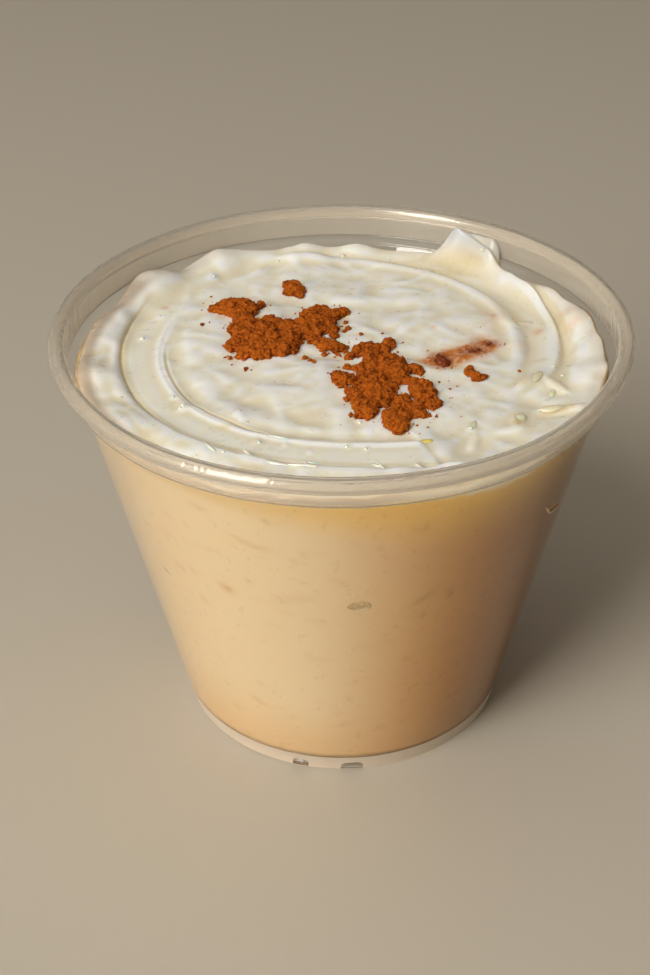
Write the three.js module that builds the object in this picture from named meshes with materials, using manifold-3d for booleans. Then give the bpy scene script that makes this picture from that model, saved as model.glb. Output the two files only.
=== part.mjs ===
// Rice pudding in a clear thin-walled dessert cup, with two heaps of cinnamon powder on top.
// Millimetres, +Z up. The origin is the centre of the cup's base, on the surface it stands on.
// The cup's front, where the powder lies nearest the rim, faces -Y.

import * as THREE from 'three';
import { mergeVertices } from 'three/addons/utils/BufferGeometryUtils.js';
import Module from 'manifold-3d';

// ---- Driving dimensions: the cup ----
const SHEET = 0.5;               // wall thickness of the cup
const RIM_RADIUS = 46;           // outside of the curled lip
const CUP_HEIGHT = 70.35;        // top of the curled lip
const CURL_RADIUS = 1.3;         // outside radius of the curl's section
const CURL_END = -90;            // where the curl's free edge stops, degrees from horizontal
const BASE_RADIUS = 27.5;        // outside of the wall at the table
const WALL_SLOPE = 15.8 / 68.9;  // growth in radius per mm of height
const SHOULDER_LOW = 63.8;       // top of the tapered wall
const SHOULDER_HIGH = 65;        // bottom of the upright collar below the lip
const LIP_SAG = 1.05;            // how much lower the lip hangs at the front
const SAG_FULL = 30;             // degrees from the front to where the sag begins to fade
const SAG_END = 85;              // and to where the lip is level
const FLOOR_TOP = 2.9;           // inside floor above the table
const FLOOR_SHEET = 0.6;         // thickness of the floor
const FOOT_WIDTH = 1.3;          // width of the foot ring's flat underside
const FOOT_EDGE = 0.3;           // small bevel at the foot's outside
const FOOT_CORNER = 0.7;         // slanted corner between the foot and the floor's underside
const FLOOR_CORNER = 0.7;        // slanted corner inside, between the wall and the floor
const PANEL_RADIUS = 17;         // raised round panel in the middle of the floor
const PANEL_RISE = 0.5;
const PANEL_EDGE = 1;            // width of the panel's sloping edge
const VENT_HEIGHT = 0.5;         // shallow gaps under the foot ring
const VENT_COUNT = 4;
const VENT_FIRST = -22;          // middle of the first vent, degrees from the front
const VENT_HALF = 18;            // half a vent's width, degrees
const FRONT = 270;               // the front's direction, degrees anticlockwise from +X
const CUP_SIDES = 60;
const CURL_STEPS = 6;

// ---- Driving dimensions: the pudding ----
const GAP = 0.3;                 // clearance between pieces that touch
const LEVEL = 63.2;              // mean height of the surface
const RIM_REACH = 41.2;          // radius where the surface meets the wall
const COLLAR_REACH = 42.8;       // radius where it has climbed onto the collar
const RINGS = 26;
const SECTORS = 78;
const SIDE_LEVELS = 4;
const EDGE_DROP = 0.3;           // height of the narrow strip just below the surface's edge
const FOOT_INSET = 0.8;          // rounding where the side meets the cup's floor
const BRIDGE_RISE = 0.6;         // the side leaves the taper this far above the shoulder
const BRIDGE_LENGTH = 2;

// the spoon's track: a smooth ribbon that runs round the left and the front and ends squared off
const TRACK_START = 152;         // degrees anticlockwise from +X
const TRACK_END = 294;
// each edge has its least radius in one direction and widens by gain over so many degrees
const TRACK_INNER = {
  radius: 26.2,
  tightest: 262,
  before: { gain: 2.8, over: 87 },
  after: { gain: 2.2, over: 32 },
};
const TRACK_OUTER = {
  radius: 32.5,
  tightest: 256,
  before: { gain: 3.2, over: 81 },
  after: { gain: 2.1, over: 31 },
};
const TRACK_LEFT = -0.3;         // height of the ribbon's flat face against the middle, on the left
const TRACK_FRONT = 0.3;         // and at the front
const TRACK_LIP = 0.3;           // thin raised edge along its inside
const TROUGH_DEPTH = 0.35;       // hollow just inside the ribbon
const BANK_LOW = 0.3;            // rise of the outer bank above the ribbon, on the left
const BANK_HIGH = 0.9;           // and at the front
const BANK_FADE = 40;            // degrees over which the bank dies away at both ends

// the same stroke where it began: a broad band round the back and the right
const BAND_MIDDLE = 50;
const BAND_HALF = 56;
const BAND_FADE = 12;
const BAND_INNER = { radius: 28.6, gain: 0.088 };   // radius at +X and growth per degree
const BAND_OUTER = { radius: 34.9, gain: 0.13 };
const BAND_RIDGE = 0.45;         // raised edge of the middle, just inside the band
const BAND_SINK = 0.45;
const BAND_CREST = 0.55;         // rise of the band towards its outer edge
const BAND_DROP = 0.85;          // fall past that edge

// soft lumps of rice under the cream, longer in one direction in the middle
const LUMP = { size: 6.5, stretch: 1.7, turn: -28, height: 0.4, seed: 3 };
const SMALL_LUMP = { size: 2.9, height: 0.18, seed: 11 };
const RIM_LUMP = { size: 5.5, height: 0.4, seed: 7, from: 34, to: 37 };
const CALM = 0.9;                // share of the lumps that the spoon smoothed out
const DOME = 0.35;               // rise of the middle

// the surface rises to the wall, more in some directions than in others
const RIM_RISE = 1.0;
const RIM_FROM = 35;             // radius where that rise begins
const RIM_BUMPS = [
  { at: 144, half: 9, rise: 1.6 },
  { at: 130, half: 5, rise: -0.7 },
  { at: 122, half: 7, rise: 2.0 },
  { at: 99, half: 4, rise: 0.7 },
  { at: 86, half: 5, rise: 0.8 },
  { at: 76, half: 8, rise: -0.5 },
  { at: 42, half: 6, rise: 0.7 },
  { at: 31, half: 7, rise: 1.0 },
  { at: 12, half: 11, rise: 1.6 },
  { at: 356, half: 9, rise: 0.5 },
];

// single humps of rice: middle, half sizes, direction in degrees and height
const HUMPS = [
  { x: -15.3, y: -17.6, long: 4.4, wide: 2.8, turn: -25, rise: 0.6 },
  { x: -10.0, y: -13.2, long: 4.2, wide: 2.8, turn: -20, rise: 0.4 },
  { x: -24.0, y: 4.1, long: 5.5, wide: 2.2, turn: -30, rise: 0.3 },
  { x: -20.5, y: -6.8, long: 4.5, wide: 3.0, turn: -10, rise: 0.3 },
  { x: 21.3, y: 12.0, long: 4.5, wide: 3.0, turn: -15, rise: 0.35 },
  { x: 10.5, y: 12.9, long: 3.4, wide: 2.8, turn: 0, rise: 0.35 },
  { x: 9.0, y: 19.2, long: 6.0, wide: 3.0, turn: -20, rise: 0.3 },
  { x: -36.8, y: -7.8, long: 4.4, wide: 3.0, turn: 100, rise: 0.6 },
  { x: -32.3, y: -20.0, long: 4.8, wide: 3.2, turn: 125, rise: 0.6 },
  { x: -37.4, y: 4.7, long: 3.4, wide: 2.4, turn: 90, rise: 0.5 },
  { x: -36.0, y: 13.6, long: 3.6, wide: 2.4, turn: 70, rise: 0.4 },
  { x: -30.2, y: 25.4, long: 4.4, wide: 2.6, turn: 45, rise: 0.5 },
  { x: -22.7, y: -29.6, long: 4.2, wide: 2.4, turn: 140, rise: 0.4 },
  { x: -12.3, y: -35.5, long: 4.6, wide: 2.2, turn: 165, rise: 0.3 },
  { x: 33.8, y: 21.3, long: 3.8, wide: 1.8, turn: -52, rise: 0.6 },
  { x: 37.6, y: 10.8, long: 3.4, wide: 2.6, turn: -60, rise: 0.6 },
  { x: 39.2, y: 0.6, long: 3.4, wide: 2.4, turn: -80, rise: 0.6 },
  { x: 36.6, y: -8.5, long: 3.2, wide: 2.4, turn: 70, rise: 0.4 },
];

// pudding dragged up the wall at the back right
const SMEAR_LOW = { at: 56.5, half: 9.5 };  // degrees, where it leaves the surface
const SMEAR_TOP = { at: 56, half: 7.2 };    // degrees, just below the lip
const SMEAR_FROM = 37.5;         // radius where it begins to climb
const SMEAR_HEIGHT = 5.8;
const SMEAR_FADE = 3;            // softness of its sides, degrees

// cooked grains that show whole near the right side: middle, direction in degrees
const GRAIN = { long: 6.4, wide: 2.1, rise: 0.6 };
const GRAINS = [
  { x: 32.9, y: -17.6, turn: 3 },
  { x: 29.2, y: -8.2, turn: 52 },
  { x: 33.2, y: -9.6, turn: -62 },
  { x: 26.5, y: -20.0, turn: 80 },
  { x: 12.4, y: -26.9, turn: -18 },
  { x: 19.5, y: -25.6, turn: 74 },
];

// ---- Driving dimensions: the cinnamon powder ----
// each lobe of a heap: middle, half width along x, half depth along y, height
const LEFT_LOBES = [
  { x: -19.0, y: 16.0, half: 4.4, deep: 2.2, high: 1.7 },
  { x: -15.4, y: 12.0, half: 2.5, deep: 2.4, high: 1.6 },
  { x: -12.4, y: 6.4, half: 6.0, deep: 3.9, high: 2.2 },
  { x: -13.2, y: 2.2, half: 4.4, deep: 2.0, high: 1.2 },
  { x: -6.6, y: 8.2, half: 3.4, deep: 4.1, high: 2.0 },
  { x: -2.6, y: 8.6, half: 3.3, deep: 4.4, high: 2.1 },
  { x: -3.0, y: 2.9, half: 2.6, deep: 1.5, high: 1.1 },
];
const RIGHT_LOBES = [
  { x: 5.3, y: 0.6, half: 3.1, deep: 2.0, high: 1.5 },
  { x: 5.4, y: -3.6, half: 2.1, deep: 2.8, high: 2.4 },
  { x: 8.0, y: -5.8, half: 2.0, deep: 2.5, high: 2.2 },
  { x: 0.8, y: -8.4, half: 2.4, deep: 1.9, high: 1.8 },
  { x: 5.0, y: -9.4, half: 3.4, deep: 3.4, high: 2.0 },
  { x: 5.6, y: -14.0, half: 3.4, deep: 2.8, high: 1.8 },
  { x: 9.8, y: -10.6, half: 2.6, deep: 1.8, high: 1.4 },
  { x: 12.8, y: -12.6, half: 2.1, deep: 2.5, high: 1.8 },
  { x: 9.2, y: -15.6, half: 1.8, deep: 2.0, high: 1.4 },
  { x: 11.6, y: -17.6, half: 2.1, deep: 1.8, high: 1.2 },
  { x: 13.9, y: -16.2, half: 1.4, deep: 1.6, high: 1.2 },
  { x: 8.5, y: -19.4, half: 2.1, deep: 2.5, high: 1.8 },
];
// crumbs that lie on their own
const CRUMBS = [
  { x: -8.4, y: 22.6, half: 1.7, deep: 1.7, high: 2.0, detail: 1 },
  { x: 12.1, y: -4.6, half: 1.0, deep: 0.9, high: 1.2, detail: 0 },
  { x: 16.1, y: -2.6, half: 1.2, deep: 1.1, high: 1.0, detail: 0 },
  { x: 20.2, y: -5.6, half: 0.9, deep: 1.1, high: 1.2, detail: 0 },
  { x: 21.6, y: -7.4, half: 1.6, deep: 1.0, high: 0.9, detail: 0 },
  { x: 24.2, y: 3.4, half: 1.2, deep: 0.8, high: 0.8, detail: 0 },
];
const CLUMP_SIZE = 1.45;         // half size of one clump of powder in a heap
const CLUMP_SPACING = 2.2;
const CLUMP_ROUGHNESS = 0.3;
const CORE_SHARE = 0.8;          // height of a lobe's core as a share of the lobe's
const BEDDING_REACH = 30;        // radius that holds both heaps
const BEDDING_RINGS = 16;
const BEDDING_SECTORS = 60;
const BEDDING_DEPTH = 10;

// ---- Small mathematics ----
const degrees = (angle) => angle * Math.PI / 180;
const mix = (a, b, t) => a + (b - a) * t;
const clamp01 = (t) => Math.min(1, Math.max(0, t));
const bell = (t) => Math.exp(-t * t);

// 0 below low, 1 above high, smooth between
function step(low, high, value) {
  const t = clamp01((value - low) / (high - low));
  return t * t * (3 - 2 * t);
}

// 1 between start and end, fading in over soft at both ends
function between(start, end, soft, value) {
  return step(start - soft, start + soft, value) * (1 - step(end - soft, end + soft, value));
}

// smallest signed difference between two directions, degrees
function turnFrom(angle, other) {
  return ((angle - other + 540) % 360) - 180;
}

// a number from 0 to 1 for each point of a whole-number grid
function scatter(i, j, seed) {
  const wave = Math.sin(i * 127.1 + j * 311.7 + seed * 74.7) * 43758.5453;
  return wave - Math.floor(wave);
}

// smooth random relief from -1 to 1, with features about one unit apart
function softNoise(x, y, seed) {
  const i = Math.floor(x);
  const j = Math.floor(y);
  const u = step(0, 1, x - i);
  const v = step(0, 1, y - j);
  const near = mix(scatter(i, j, seed), scatter(i + 1, j, seed), u);
  const far = mix(scatter(i, j + 1, seed), scatter(i + 1, j + 1, seed), u);
  return 2 * mix(near, far, v) - 1;
}

// an oval bump of height 1, turned in plan
function ovalBump(x, y, at, long, wide) {
  const turn = degrees(at.turn);
  const along = (x - at.x) * Math.cos(turn) + (y - at.y) * Math.sin(turn);
  const across = (y - at.y) * Math.cos(turn) - (x - at.x) * Math.sin(turn);
  return bell(Math.hypot(along / long, across / wide));
}

// ---- The cup ----
const wallRadius = (z) => BASE_RADIUS + WALL_SLOPE * z;
const collarRadius = RIM_RADIUS - 2 * CURL_RADIUS + SHEET;   // outside of the collar

// inside radius of the cup at height z
function insideRadius(z) {
  if (z <= SHOULDER_LOW) {
    return wallRadius(z) - SHEET;
  }
  const low = wallRadius(SHOULDER_LOW) - SHEET;
  return mix(low, collarRadius - SHEET, clamp01((z - SHOULDER_LOW) / (SHOULDER_HIGH - SHOULDER_LOW)));
}

function curlPoints(radius, from, to) {
  const centre = { r: RIM_RADIUS - CURL_RADIUS, z: CUP_HEIGHT - CURL_RADIUS };
  return Array.from({ length: CURL_STEPS + 1 }, (_, k) => {
    const angle = degrees(mix(from, to, k / CURL_STEPS));
    return [centre.r + radius * Math.cos(angle), centre.z + radius * Math.sin(angle)];
  });
}

// the sheet's section, from the middle of the underside round the lip to the middle of the floor
function cupProfile() {
  const footOuter = BASE_RADIUS - FOOT_EDGE;
  const footInner = footOuter - FOOT_WIDTH;
  const under = FLOOR_TOP - FLOOR_SHEET;
  return [
    [0, under + PANEL_RISE],
    [PANEL_RADIUS - PANEL_EDGE, under + PANEL_RISE],
    [PANEL_RADIUS, under],
    [footInner - FOOT_EDGE - FOOT_CORNER, under],
    [footInner - FOOT_EDGE, under - FOOT_CORNER],
    [footInner, 0],
    [footOuter, 0],
    [wallRadius(FOOT_EDGE), FOOT_EDGE],
    [wallRadius(SHOULDER_LOW), SHOULDER_LOW],
    [collarRadius, SHOULDER_HIGH],
    ...curlPoints(CURL_RADIUS - SHEET, 180, CURL_END),
    ...curlPoints(CURL_RADIUS, CURL_END, 180),
    [collarRadius - SHEET, SHOULDER_HIGH],
    [wallRadius(SHOULDER_LOW) - SHEET, SHOULDER_LOW],
    [insideRadius(FLOOR_TOP + FLOOR_CORNER), FLOOR_TOP + FLOOR_CORNER],
    [insideRadius(FLOOR_TOP) - FLOOR_CORNER, FLOOR_TOP],
    [PANEL_RADIUS, FLOOR_TOP],
    [PANEL_RADIUS - PANEL_EDGE, FLOOR_TOP + PANEL_RISE],
    [0, FLOOR_TOP + PANEL_RISE],
  ].map(([r, z]) => new THREE.Vector2(r, z));
}

// lifts the foot ring's flat underside in each vent
function cutVents(geometry) {
  const place = geometry.attributes.position;
  for (let k = 0; k < place.count; k += 1) {
    const fromFront = THREE.MathUtils.radToDeg(Math.atan2(place.getX(k), -place.getY(k)));
    const fromVent = turnFrom((fromFront - VENT_FIRST) * VENT_COUNT, 0) / VENT_COUNT;
    if (place.getZ(k) < FOOT_EDGE / 2 && Math.abs(fromVent) < VENT_HALF) {
      place.setZ(k, VENT_HEIGHT);
    }
  }
}

// how much lower the cup's wall and lip stand in a direction, from nothing at the floor
function sagAt(angle, z) {
  const floor = FLOOR_TOP + FLOOR_CORNER;
  const share = clamp01((z - floor) / (SHOULDER_LOW - floor));
  return LIP_SAG * share * (1 - step(SAG_FULL, SAG_END, Math.abs(turnFrom(angle, FRONT))));
}

function sagLip(geometry) {
  const place = geometry.attributes.position;
  for (let k = 0; k < place.count; k += 1) {
    const angle = THREE.MathUtils.radToDeg(Math.atan2(place.getY(k), place.getX(k)));
    place.setZ(k, place.getZ(k) - sagAt(angle, place.getZ(k)));
  }
}

function makeCup() {
  const geometry = new THREE.LatheGeometry(cupProfile(), CUP_SIDES);
  geometry.rotateX(Math.PI / 2);
  cutVents(geometry);
  sagLip(geometry);
  return geometry;
}

// ---- The pudding's surface ----
// all directions are in degrees anticlockwise from +X, from 0 to 360
function trackEdge(edge, angle) {
  const side = angle < edge.tightest ? edge.before : edge.after;
  return edge.radius + side.gain * ((angle - edge.tightest) / side.over) ** 2;
}

const bandEdge = (edge, angle) => edge.radius + edge.gain * turnFrom(angle, 0);

// 1 where the ribbon runs: it starts softly and ends squared off
const alongTrack = (angle) => step(TRACK_START - 8, TRACK_START + 14, angle)
  * (1 - step(TRACK_END - 1, TRACK_END + 1, angle));

const alongBand = (angle) => 1 - step(
  BAND_HALF - BAND_FADE, BAND_HALF + BAND_FADE, Math.abs(turnFrom(angle, BAND_MIDDLE)));

// the ribbon with its lip and the hollow inside it
function trackRelief(radius, angle) {
  const inner = trackEdge(TRACK_INNER, angle);
  const outer = trackEdge(TRACK_OUTER, angle);
  const face = step(inner - 0.5, inner + 0.4, radius) * (1 - step(outer - 0.2, outer + 1, radius));
  const faceHeight = mix(TRACK_LEFT, TRACK_FRONT, step(215, 260, angle));
  const lip = bell((radius - inner - 0.5) / 0.7);
  const trough = bell((radius - inner + 1.9) / 1.7);
  return alongTrack(angle) * (TRACK_LIP * lip + faceHeight * face - TROUGH_DEPTH * trough);
}

// the bank outside the ribbon
function bankRelief(radius, angle) {
  const outer = trackEdge(TRACK_OUTER, angle);
  const height = mix(BANK_LOW, BANK_HIGH, step(205, 245, angle));
  const fade = step(TRACK_START - BANK_FADE, TRACK_START, angle)
    * (1 - step(TRACK_END, TRACK_END + BANK_FADE, angle));
  return fade * height * step(outer - 0.2, outer + 1.3, radius);
}

// the rise towards the wall
function rimRelief(radius, angle) {
  const bumps = RIM_BUMPS.reduce(
    (sum, bump) => sum + bump.rise * bell(turnFrom(angle, bump.at) / bump.half), 0);
  return (RIM_RISE + bumps) * step(RIM_FROM, RIM_REACH, radius);
}

// the broad band at the back, lower than the middle, with a sharp outer edge
function bandRelief(radius, angle) {
  const inner = bandEdge(BAND_INNER, angle);
  const outer = bandEdge(BAND_OUTER, angle);
  const ridge = bell((radius - inner + 0.6) / 1.3);
  const sink = step(inner, inner + 1.6, radius);
  const past = step(outer - 0.5, outer + 0.5, radius);
  const crest = step(outer - 5, outer - 0.8, radius) * (1 - past);
  const drop = past * (1 - step(outer + 0.8, outer + 4, radius));
  return alongBand(angle) * (BAND_RIDGE * ridge - BAND_SINK * sink + BAND_CREST * crest - BAND_DROP * drop);
}

function lumpRelief(x, y, radius, angle) {
  const inTrack = alongTrack(angle)
    * between(trackEdge(TRACK_INNER, angle), trackEdge(TRACK_OUTER, angle), 0.8, radius);
  const inBand = alongBand(angle)
    * between(bandEdge(BAND_INNER, angle) + 1, bandEdge(BAND_OUTER, angle), 1.5, radius);
  const turn = degrees(LUMP.turn);
  const along = (x * Math.cos(turn) + y * Math.sin(turn)) / (LUMP.stretch * LUMP.size);
  const across = (y * Math.cos(turn) - x * Math.sin(turn)) / LUMP.size;
  const soft = LUMP.height * softNoise(along, across, LUMP.seed);
  const small = SMALL_LUMP.height * softNoise(x / SMALL_LUMP.size, y / SMALL_LUMP.size, SMALL_LUMP.seed);
  const rim = RIM_LUMP.height * softNoise(x / RIM_LUMP.size, y / RIM_LUMP.size, RIM_LUMP.seed);
  const left = 1 - CALM * Math.max(inTrack, inBand);
  return left * (soft + small) + rim * step(RIM_LUMP.from, RIM_LUMP.to, radius);
}

// how much of the smear's height is reached at a share of its climb
function smearShare(climb, angle) {
  const at = mix(SMEAR_LOW.at, SMEAR_TOP.at, climb);
  const half = mix(SMEAR_LOW.half, SMEAR_TOP.half, climb);
  const away = Math.abs(turnFrom(angle, at));
  return climb * climb * (1 - step(half - SMEAR_FADE, half + SMEAR_FADE, away));
}

// radius where the surface meets the wall or the collar, from a direction in degrees
const surfaceReach = (angle) => mix(RIM_REACH, COLLAR_REACH, smearShare(1, angle));

function smearRelief(radius, angle) {
  const climb = clamp01((radius - SMEAR_FROM) / (COLLAR_REACH - SMEAR_FROM));
  return SMEAR_HEIGHT * smearShare(climb, angle);
}

// height of the surface above the table at a point in plan
function surface(x, y) {
  const radius = Math.hypot(x, y);
  const angle = (THREE.MathUtils.radToDeg(Math.atan2(y, x)) + 360) % 360;
  const dome = DOME * (1 - (radius / RIM_REACH) ** 2);
  const edge = Math.max(rimRelief(radius, angle), bankRelief(radius, angle));
  const humps = HUMPS.reduce((sum, hump) => sum + hump.rise * ovalBump(x, y, hump, hump.long, hump.wide), 0);
  const grains = GRAINS.reduce(
    (sum, grain) => sum + GRAIN.rise * ovalBump(x, y, grain, GRAIN.long / 2, GRAIN.wide / 2), 0);
  return LEVEL + dome + edge + trackRelief(radius, angle) + bandRelief(radius, angle)
    + lumpRelief(x, y, radius, angle) + humps + grains + smearRelief(radius, angle);
}

// ---- Closed solids from rings of points ----
// rings run from the first cap's middle to the last; each ring is a list of [x, y, z]
function closedFromRings(firstPole, rings, lastPole) {
  const count = rings[0].length;
  const points = [firstPole, ...rings.flat(), lastPole];
  const last = points.length - 1;
  const at = (ring, k) => 1 + ring * count + (k % count);
  const faces = [];
  for (let k = 0; k < count; k += 1) {
    faces.push([0, at(0, k), at(0, k + 1)]);
    for (let ring = 0; ring < rings.length - 1; ring += 1) {
      faces.push([at(ring, k), at(ring + 1, k), at(ring + 1, k + 1)]);
      faces.push([at(ring, k), at(ring + 1, k + 1), at(ring, k + 1)]);
    }
    faces.push([last, at(rings.length - 1, k + 1), at(rings.length - 1, k)]);
  }
  const geometry = new THREE.BufferGeometry();
  geometry.setAttribute('position', new THREE.Float32BufferAttribute(points.flat(), 3));
  geometry.setIndex(faces.flat());
  return geometry;
}

function ringPoints(sectors, radiusAt, heightAt) {
  return Array.from({ length: sectors }, (_, k) => {
    const angle = 2 * Math.PI * k / sectors;
    const radius = radiusAt(angle);
    const x = radius * Math.cos(angle);
    const y = radius * Math.sin(angle);
    return [x, y, heightAt(x, y, angle)];
  });
}

// radius of the pudding's side at height z; it bridges the corner below the collar
function sideRadius(z) {
  const low = insideRadius(Math.min(z, SHOULDER_LOW));
  const inCollar = clamp01((z - SHOULDER_LOW - BRIDGE_RISE) / BRIDGE_LENGTH);
  return mix(low, collarRadius - SHEET, inCollar) - GAP;
}

// the pudding as poured: the uneven top, the cup's inside wall and its floor, kept clear by GAP
function puddingShape() {
  const rimHeight = (angle) => {
    const reach = surfaceReach(THREE.MathUtils.radToDeg(angle));
    return surface(reach * Math.cos(angle), reach * Math.sin(angle));
  };
  const rimRadius = (angle) => sideRadius(rimHeight(angle));
  const bottom = FLOOR_TOP + PANEL_RISE + GAP;
  const rings = [];
  for (let ring = 1; ring < RINGS; ring += 1) {
    rings.push(ringPoints(SECTORS, (angle) => rimRadius(angle) * ring / RINGS, surface));
  }
  rings.push(ringPoints(SECTORS, rimRadius, (x, y, angle) => rimHeight(angle)));
  for (let level = 0; level <= SIDE_LEVELS; level += 1) {
    const top = (angle) => Math.min(rimHeight(angle), SHOULDER_LOW) - EDGE_DROP;
    const height = (angle) => mix(top(angle), bottom, level / SIDE_LEVELS);
    const inset = level === SIDE_LEVELS ? FOOT_INSET : 0;
    rings.push(ringPoints(
      SECTORS,
      (angle) => sideRadius(height(angle)) - inset,
      (x, y, angle) => height(angle)));
  }
  return closedFromRings([0, 0, surface(0, 0)], rings, [0, 0, bottom]);
}

// everything below the surface raised by GAP: what a heap's underside must stay clear of
function beddingShape(reach) {
  const rings = [];
  for (let ring = 1; ring <= BEDDING_RINGS; ring += 1) {
    rings.push(ringPoints(
      BEDDING_SECTORS,
      () => reach * ring / BEDDING_RINGS,
      (x, y) => surface(x, y) + GAP));
  }
  const bottom = LEVEL - BEDDING_DEPTH;
  rings.push(ringPoints(BEDDING_SECTORS, () => reach, () => bottom));
  return closedFromRings([0, 0, surface(0, 0) + GAP], rings, [0, 0, bottom]);
}

// ---- Cinnamon powder ----
// a knobbly clump: a ball whose corners are moved in and out
function clumpShape(x, y, z, half, deep, high, seed, detail) {
  const geometry = new THREE.IcosahedronGeometry(1, detail);
  geometry.deleteAttribute('normal');
  geometry.deleteAttribute('uv');
  const ball = mergeVertices(geometry, 1e-4);
  const place = ball.attributes.position;
  for (let k = 0; k < place.count; k += 1) {
    const swell = 1 + CLUMP_ROUGHNESS * (scatter(k, seed, 5) - 0.5);
    place.setXYZ(k,
      x + half * swell * place.getX(k),
      y + deep * swell * place.getY(k),
      z + high * swell * place.getZ(k));
  }
  return ball;
}

// one lobe: a low core with smaller clumps round its top
function lobeShapes(lobe, seed) {
  const base = surface(lobe.x, lobe.y);
  const coreHeight = CORE_SHARE * lobe.high;
  const shapes = [clumpShape(lobe.x, lobe.y, base, lobe.half, lobe.deep, coreHeight, seed, 1)];
  const turns = Math.max(3, Math.round(Math.PI * (lobe.half + lobe.deep) / (2 * CLUMP_SPACING)));
  for (let k = 0; k < turns; k += 1) {
    const angle = 2 * Math.PI * (k + scatter(seed, k, 1)) / turns;
    const out = 0.5 + 0.3 * scatter(seed, k, 2);
    const size = CLUMP_SIZE * (0.6 + 0.5 * scatter(seed, k, 4));
    const x = lobe.x + out * lobe.half * Math.cos(angle);
    const y = lobe.y + out * lobe.deep * Math.sin(angle);
    const sunk = 0.5 * lobe.high * (0.8 - scatter(seed, k, 6));
    const z = Math.max(base, base + lobe.high - size - sunk);
    shapes.push(clumpShape(x, y, z, size, size, size, seed + 31 * k, 0));
  }
  return shapes;
}

// ---- Joining and cutting ----
const wasm = await Module();
wasm.setup();

function toSolid(geometry) {
  return new wasm.Manifold(new wasm.Mesh({
    numProp: 3,
    vertProperties: new Float32Array(geometry.attributes.position.array),
    triVerts: new Uint32Array(geometry.index.array),
  }));
}

function toGeometry(solid) {
  const mesh = solid.getMesh();
  const geometry = new THREE.BufferGeometry();
  geometry.setAttribute('position', new THREE.Float32BufferAttribute(mesh.vertProperties, 3));
  geometry.setIndex(Array.from(mesh.triVerts));
  return geometry;
}

const joined = (shapes) => shapes.map(toSolid).reduce((whole, piece) => whole.add(piece));

// the largest body of a solid, without loose scraps
function withoutScraps(solid) {
  const bodies = solid.decompose();
  return bodies.reduce((largest, body) => (body.volume() > largest.volume() ? body : largest));
}

function makePudding() {
  const crumbs = CRUMBS.map((crumb, k) => clumpShape(
    crumb.x, crumb.y, surface(crumb.x, crumb.y), crumb.half, crumb.deep, crumb.high, k, crumb.detail));
  return toGeometry(joined([puddingShape(), ...crumbs]));
}

function makeHeap(lobes, firstSeed) {
  const shapes = lobes.flatMap((lobe, k) => lobeShapes(lobe, firstSeed + k));
  return toGeometry(withoutScraps(joined(shapes).subtract(toSolid(beddingShape(BEDDING_REACH)))));
}

// ---- Materials ----
const clearPlastic = new THREE.MeshStandardMaterial({
  color: 0xe9e6df, roughness: 0.06, metalness: 0, transparent: true, opacity: 0.35,
});
const creamyPudding = new THREE.MeshStandardMaterial({ color: 0xf0e6cf, roughness: 0.35, metalness: 0 });
const cinnamonPowder = new THREE.MeshStandardMaterial({ color: 0xa8551f, roughness: 0.95, metalness: 0 });

// ---- The object ----
const ricePudding = new THREE.Group();

function addPiece(name, geometry, material) {
  const mesh = new THREE.Mesh(geometry, material);
  mesh.name = name;
  ricePudding.add(mesh);
}

addPiece('cup', makeCup(), clearPlastic);
addPiece('pudding', makePudding(), creamyPudding);
addPiece('cinnamon_left', makeHeap(LEFT_LOBES, 11), cinnamonPowder);
addPiece('cinnamon_right', makeHeap(RIGHT_LOBES, 47), cinnamonPowder);

export default ricePudding;
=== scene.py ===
"""Rice pudding in a clear dessert cup, with cinnamon powder on top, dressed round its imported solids.

Lengths are in millimetres in the part's own frame and become metres where a mesh is made.
Directions are in degrees anticlockwise from +X. Pixels are of the photograph's 650 x 975 frame.
"""

import itertools
import math

import bmesh
import bpy
import numpy as np
from mathutils import Matrix, Vector


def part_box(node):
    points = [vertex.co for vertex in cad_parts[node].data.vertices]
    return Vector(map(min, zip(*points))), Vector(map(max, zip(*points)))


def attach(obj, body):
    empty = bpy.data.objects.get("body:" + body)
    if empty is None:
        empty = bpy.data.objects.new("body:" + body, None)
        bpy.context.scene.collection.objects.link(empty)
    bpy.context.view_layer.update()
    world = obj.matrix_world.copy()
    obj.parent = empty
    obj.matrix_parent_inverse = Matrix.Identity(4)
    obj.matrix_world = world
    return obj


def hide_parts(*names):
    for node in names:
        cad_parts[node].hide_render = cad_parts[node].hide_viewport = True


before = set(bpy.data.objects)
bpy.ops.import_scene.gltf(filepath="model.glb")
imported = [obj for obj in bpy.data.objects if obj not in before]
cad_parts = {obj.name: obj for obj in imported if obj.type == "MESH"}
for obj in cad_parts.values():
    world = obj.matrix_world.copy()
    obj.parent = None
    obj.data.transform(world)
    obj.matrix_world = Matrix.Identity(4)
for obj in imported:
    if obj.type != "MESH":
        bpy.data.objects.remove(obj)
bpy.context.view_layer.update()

MM = 0.001
BODY = "root"

# ---- The cup, as its solid has it ----
RIM_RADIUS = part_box("cup")[1].x / MM
CUP_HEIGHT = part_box("cup")[1].z / MM
SHEET = 0.5
CURL_RADIUS = 1.3
CURL_END = -90
BASE_RADIUS = 27.5
WALL_SLOPE = 15.8 / 68.9
SHOULDER_LOW = 63.8
SHOULDER_HIGH = 65.0
LIP_SAG = 1.05  # how much lower the lip hangs at the front
SAG_FULL = 30  # degrees from the front to where the sag begins to fade
SAG_END = 85  # and to where the lip is level
FRONT = 270
COLLAR_RADIUS = RIM_RADIUS - 2 * CURL_RADIUS + SHEET
FLOOR_TOP = 2.9
FLOOR_SHEET = 0.6
FLOOR_CORNER = 0.7
WALL_FOOT = FLOOR_TOP + FLOOR_CORNER
FOOT_WIDTH = 1.3
FOOT_EDGE = 0.3
FOOT_CORNER = 0.7
PANEL_RADIUS = 17.0
PANEL_RISE = 0.5
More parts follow.
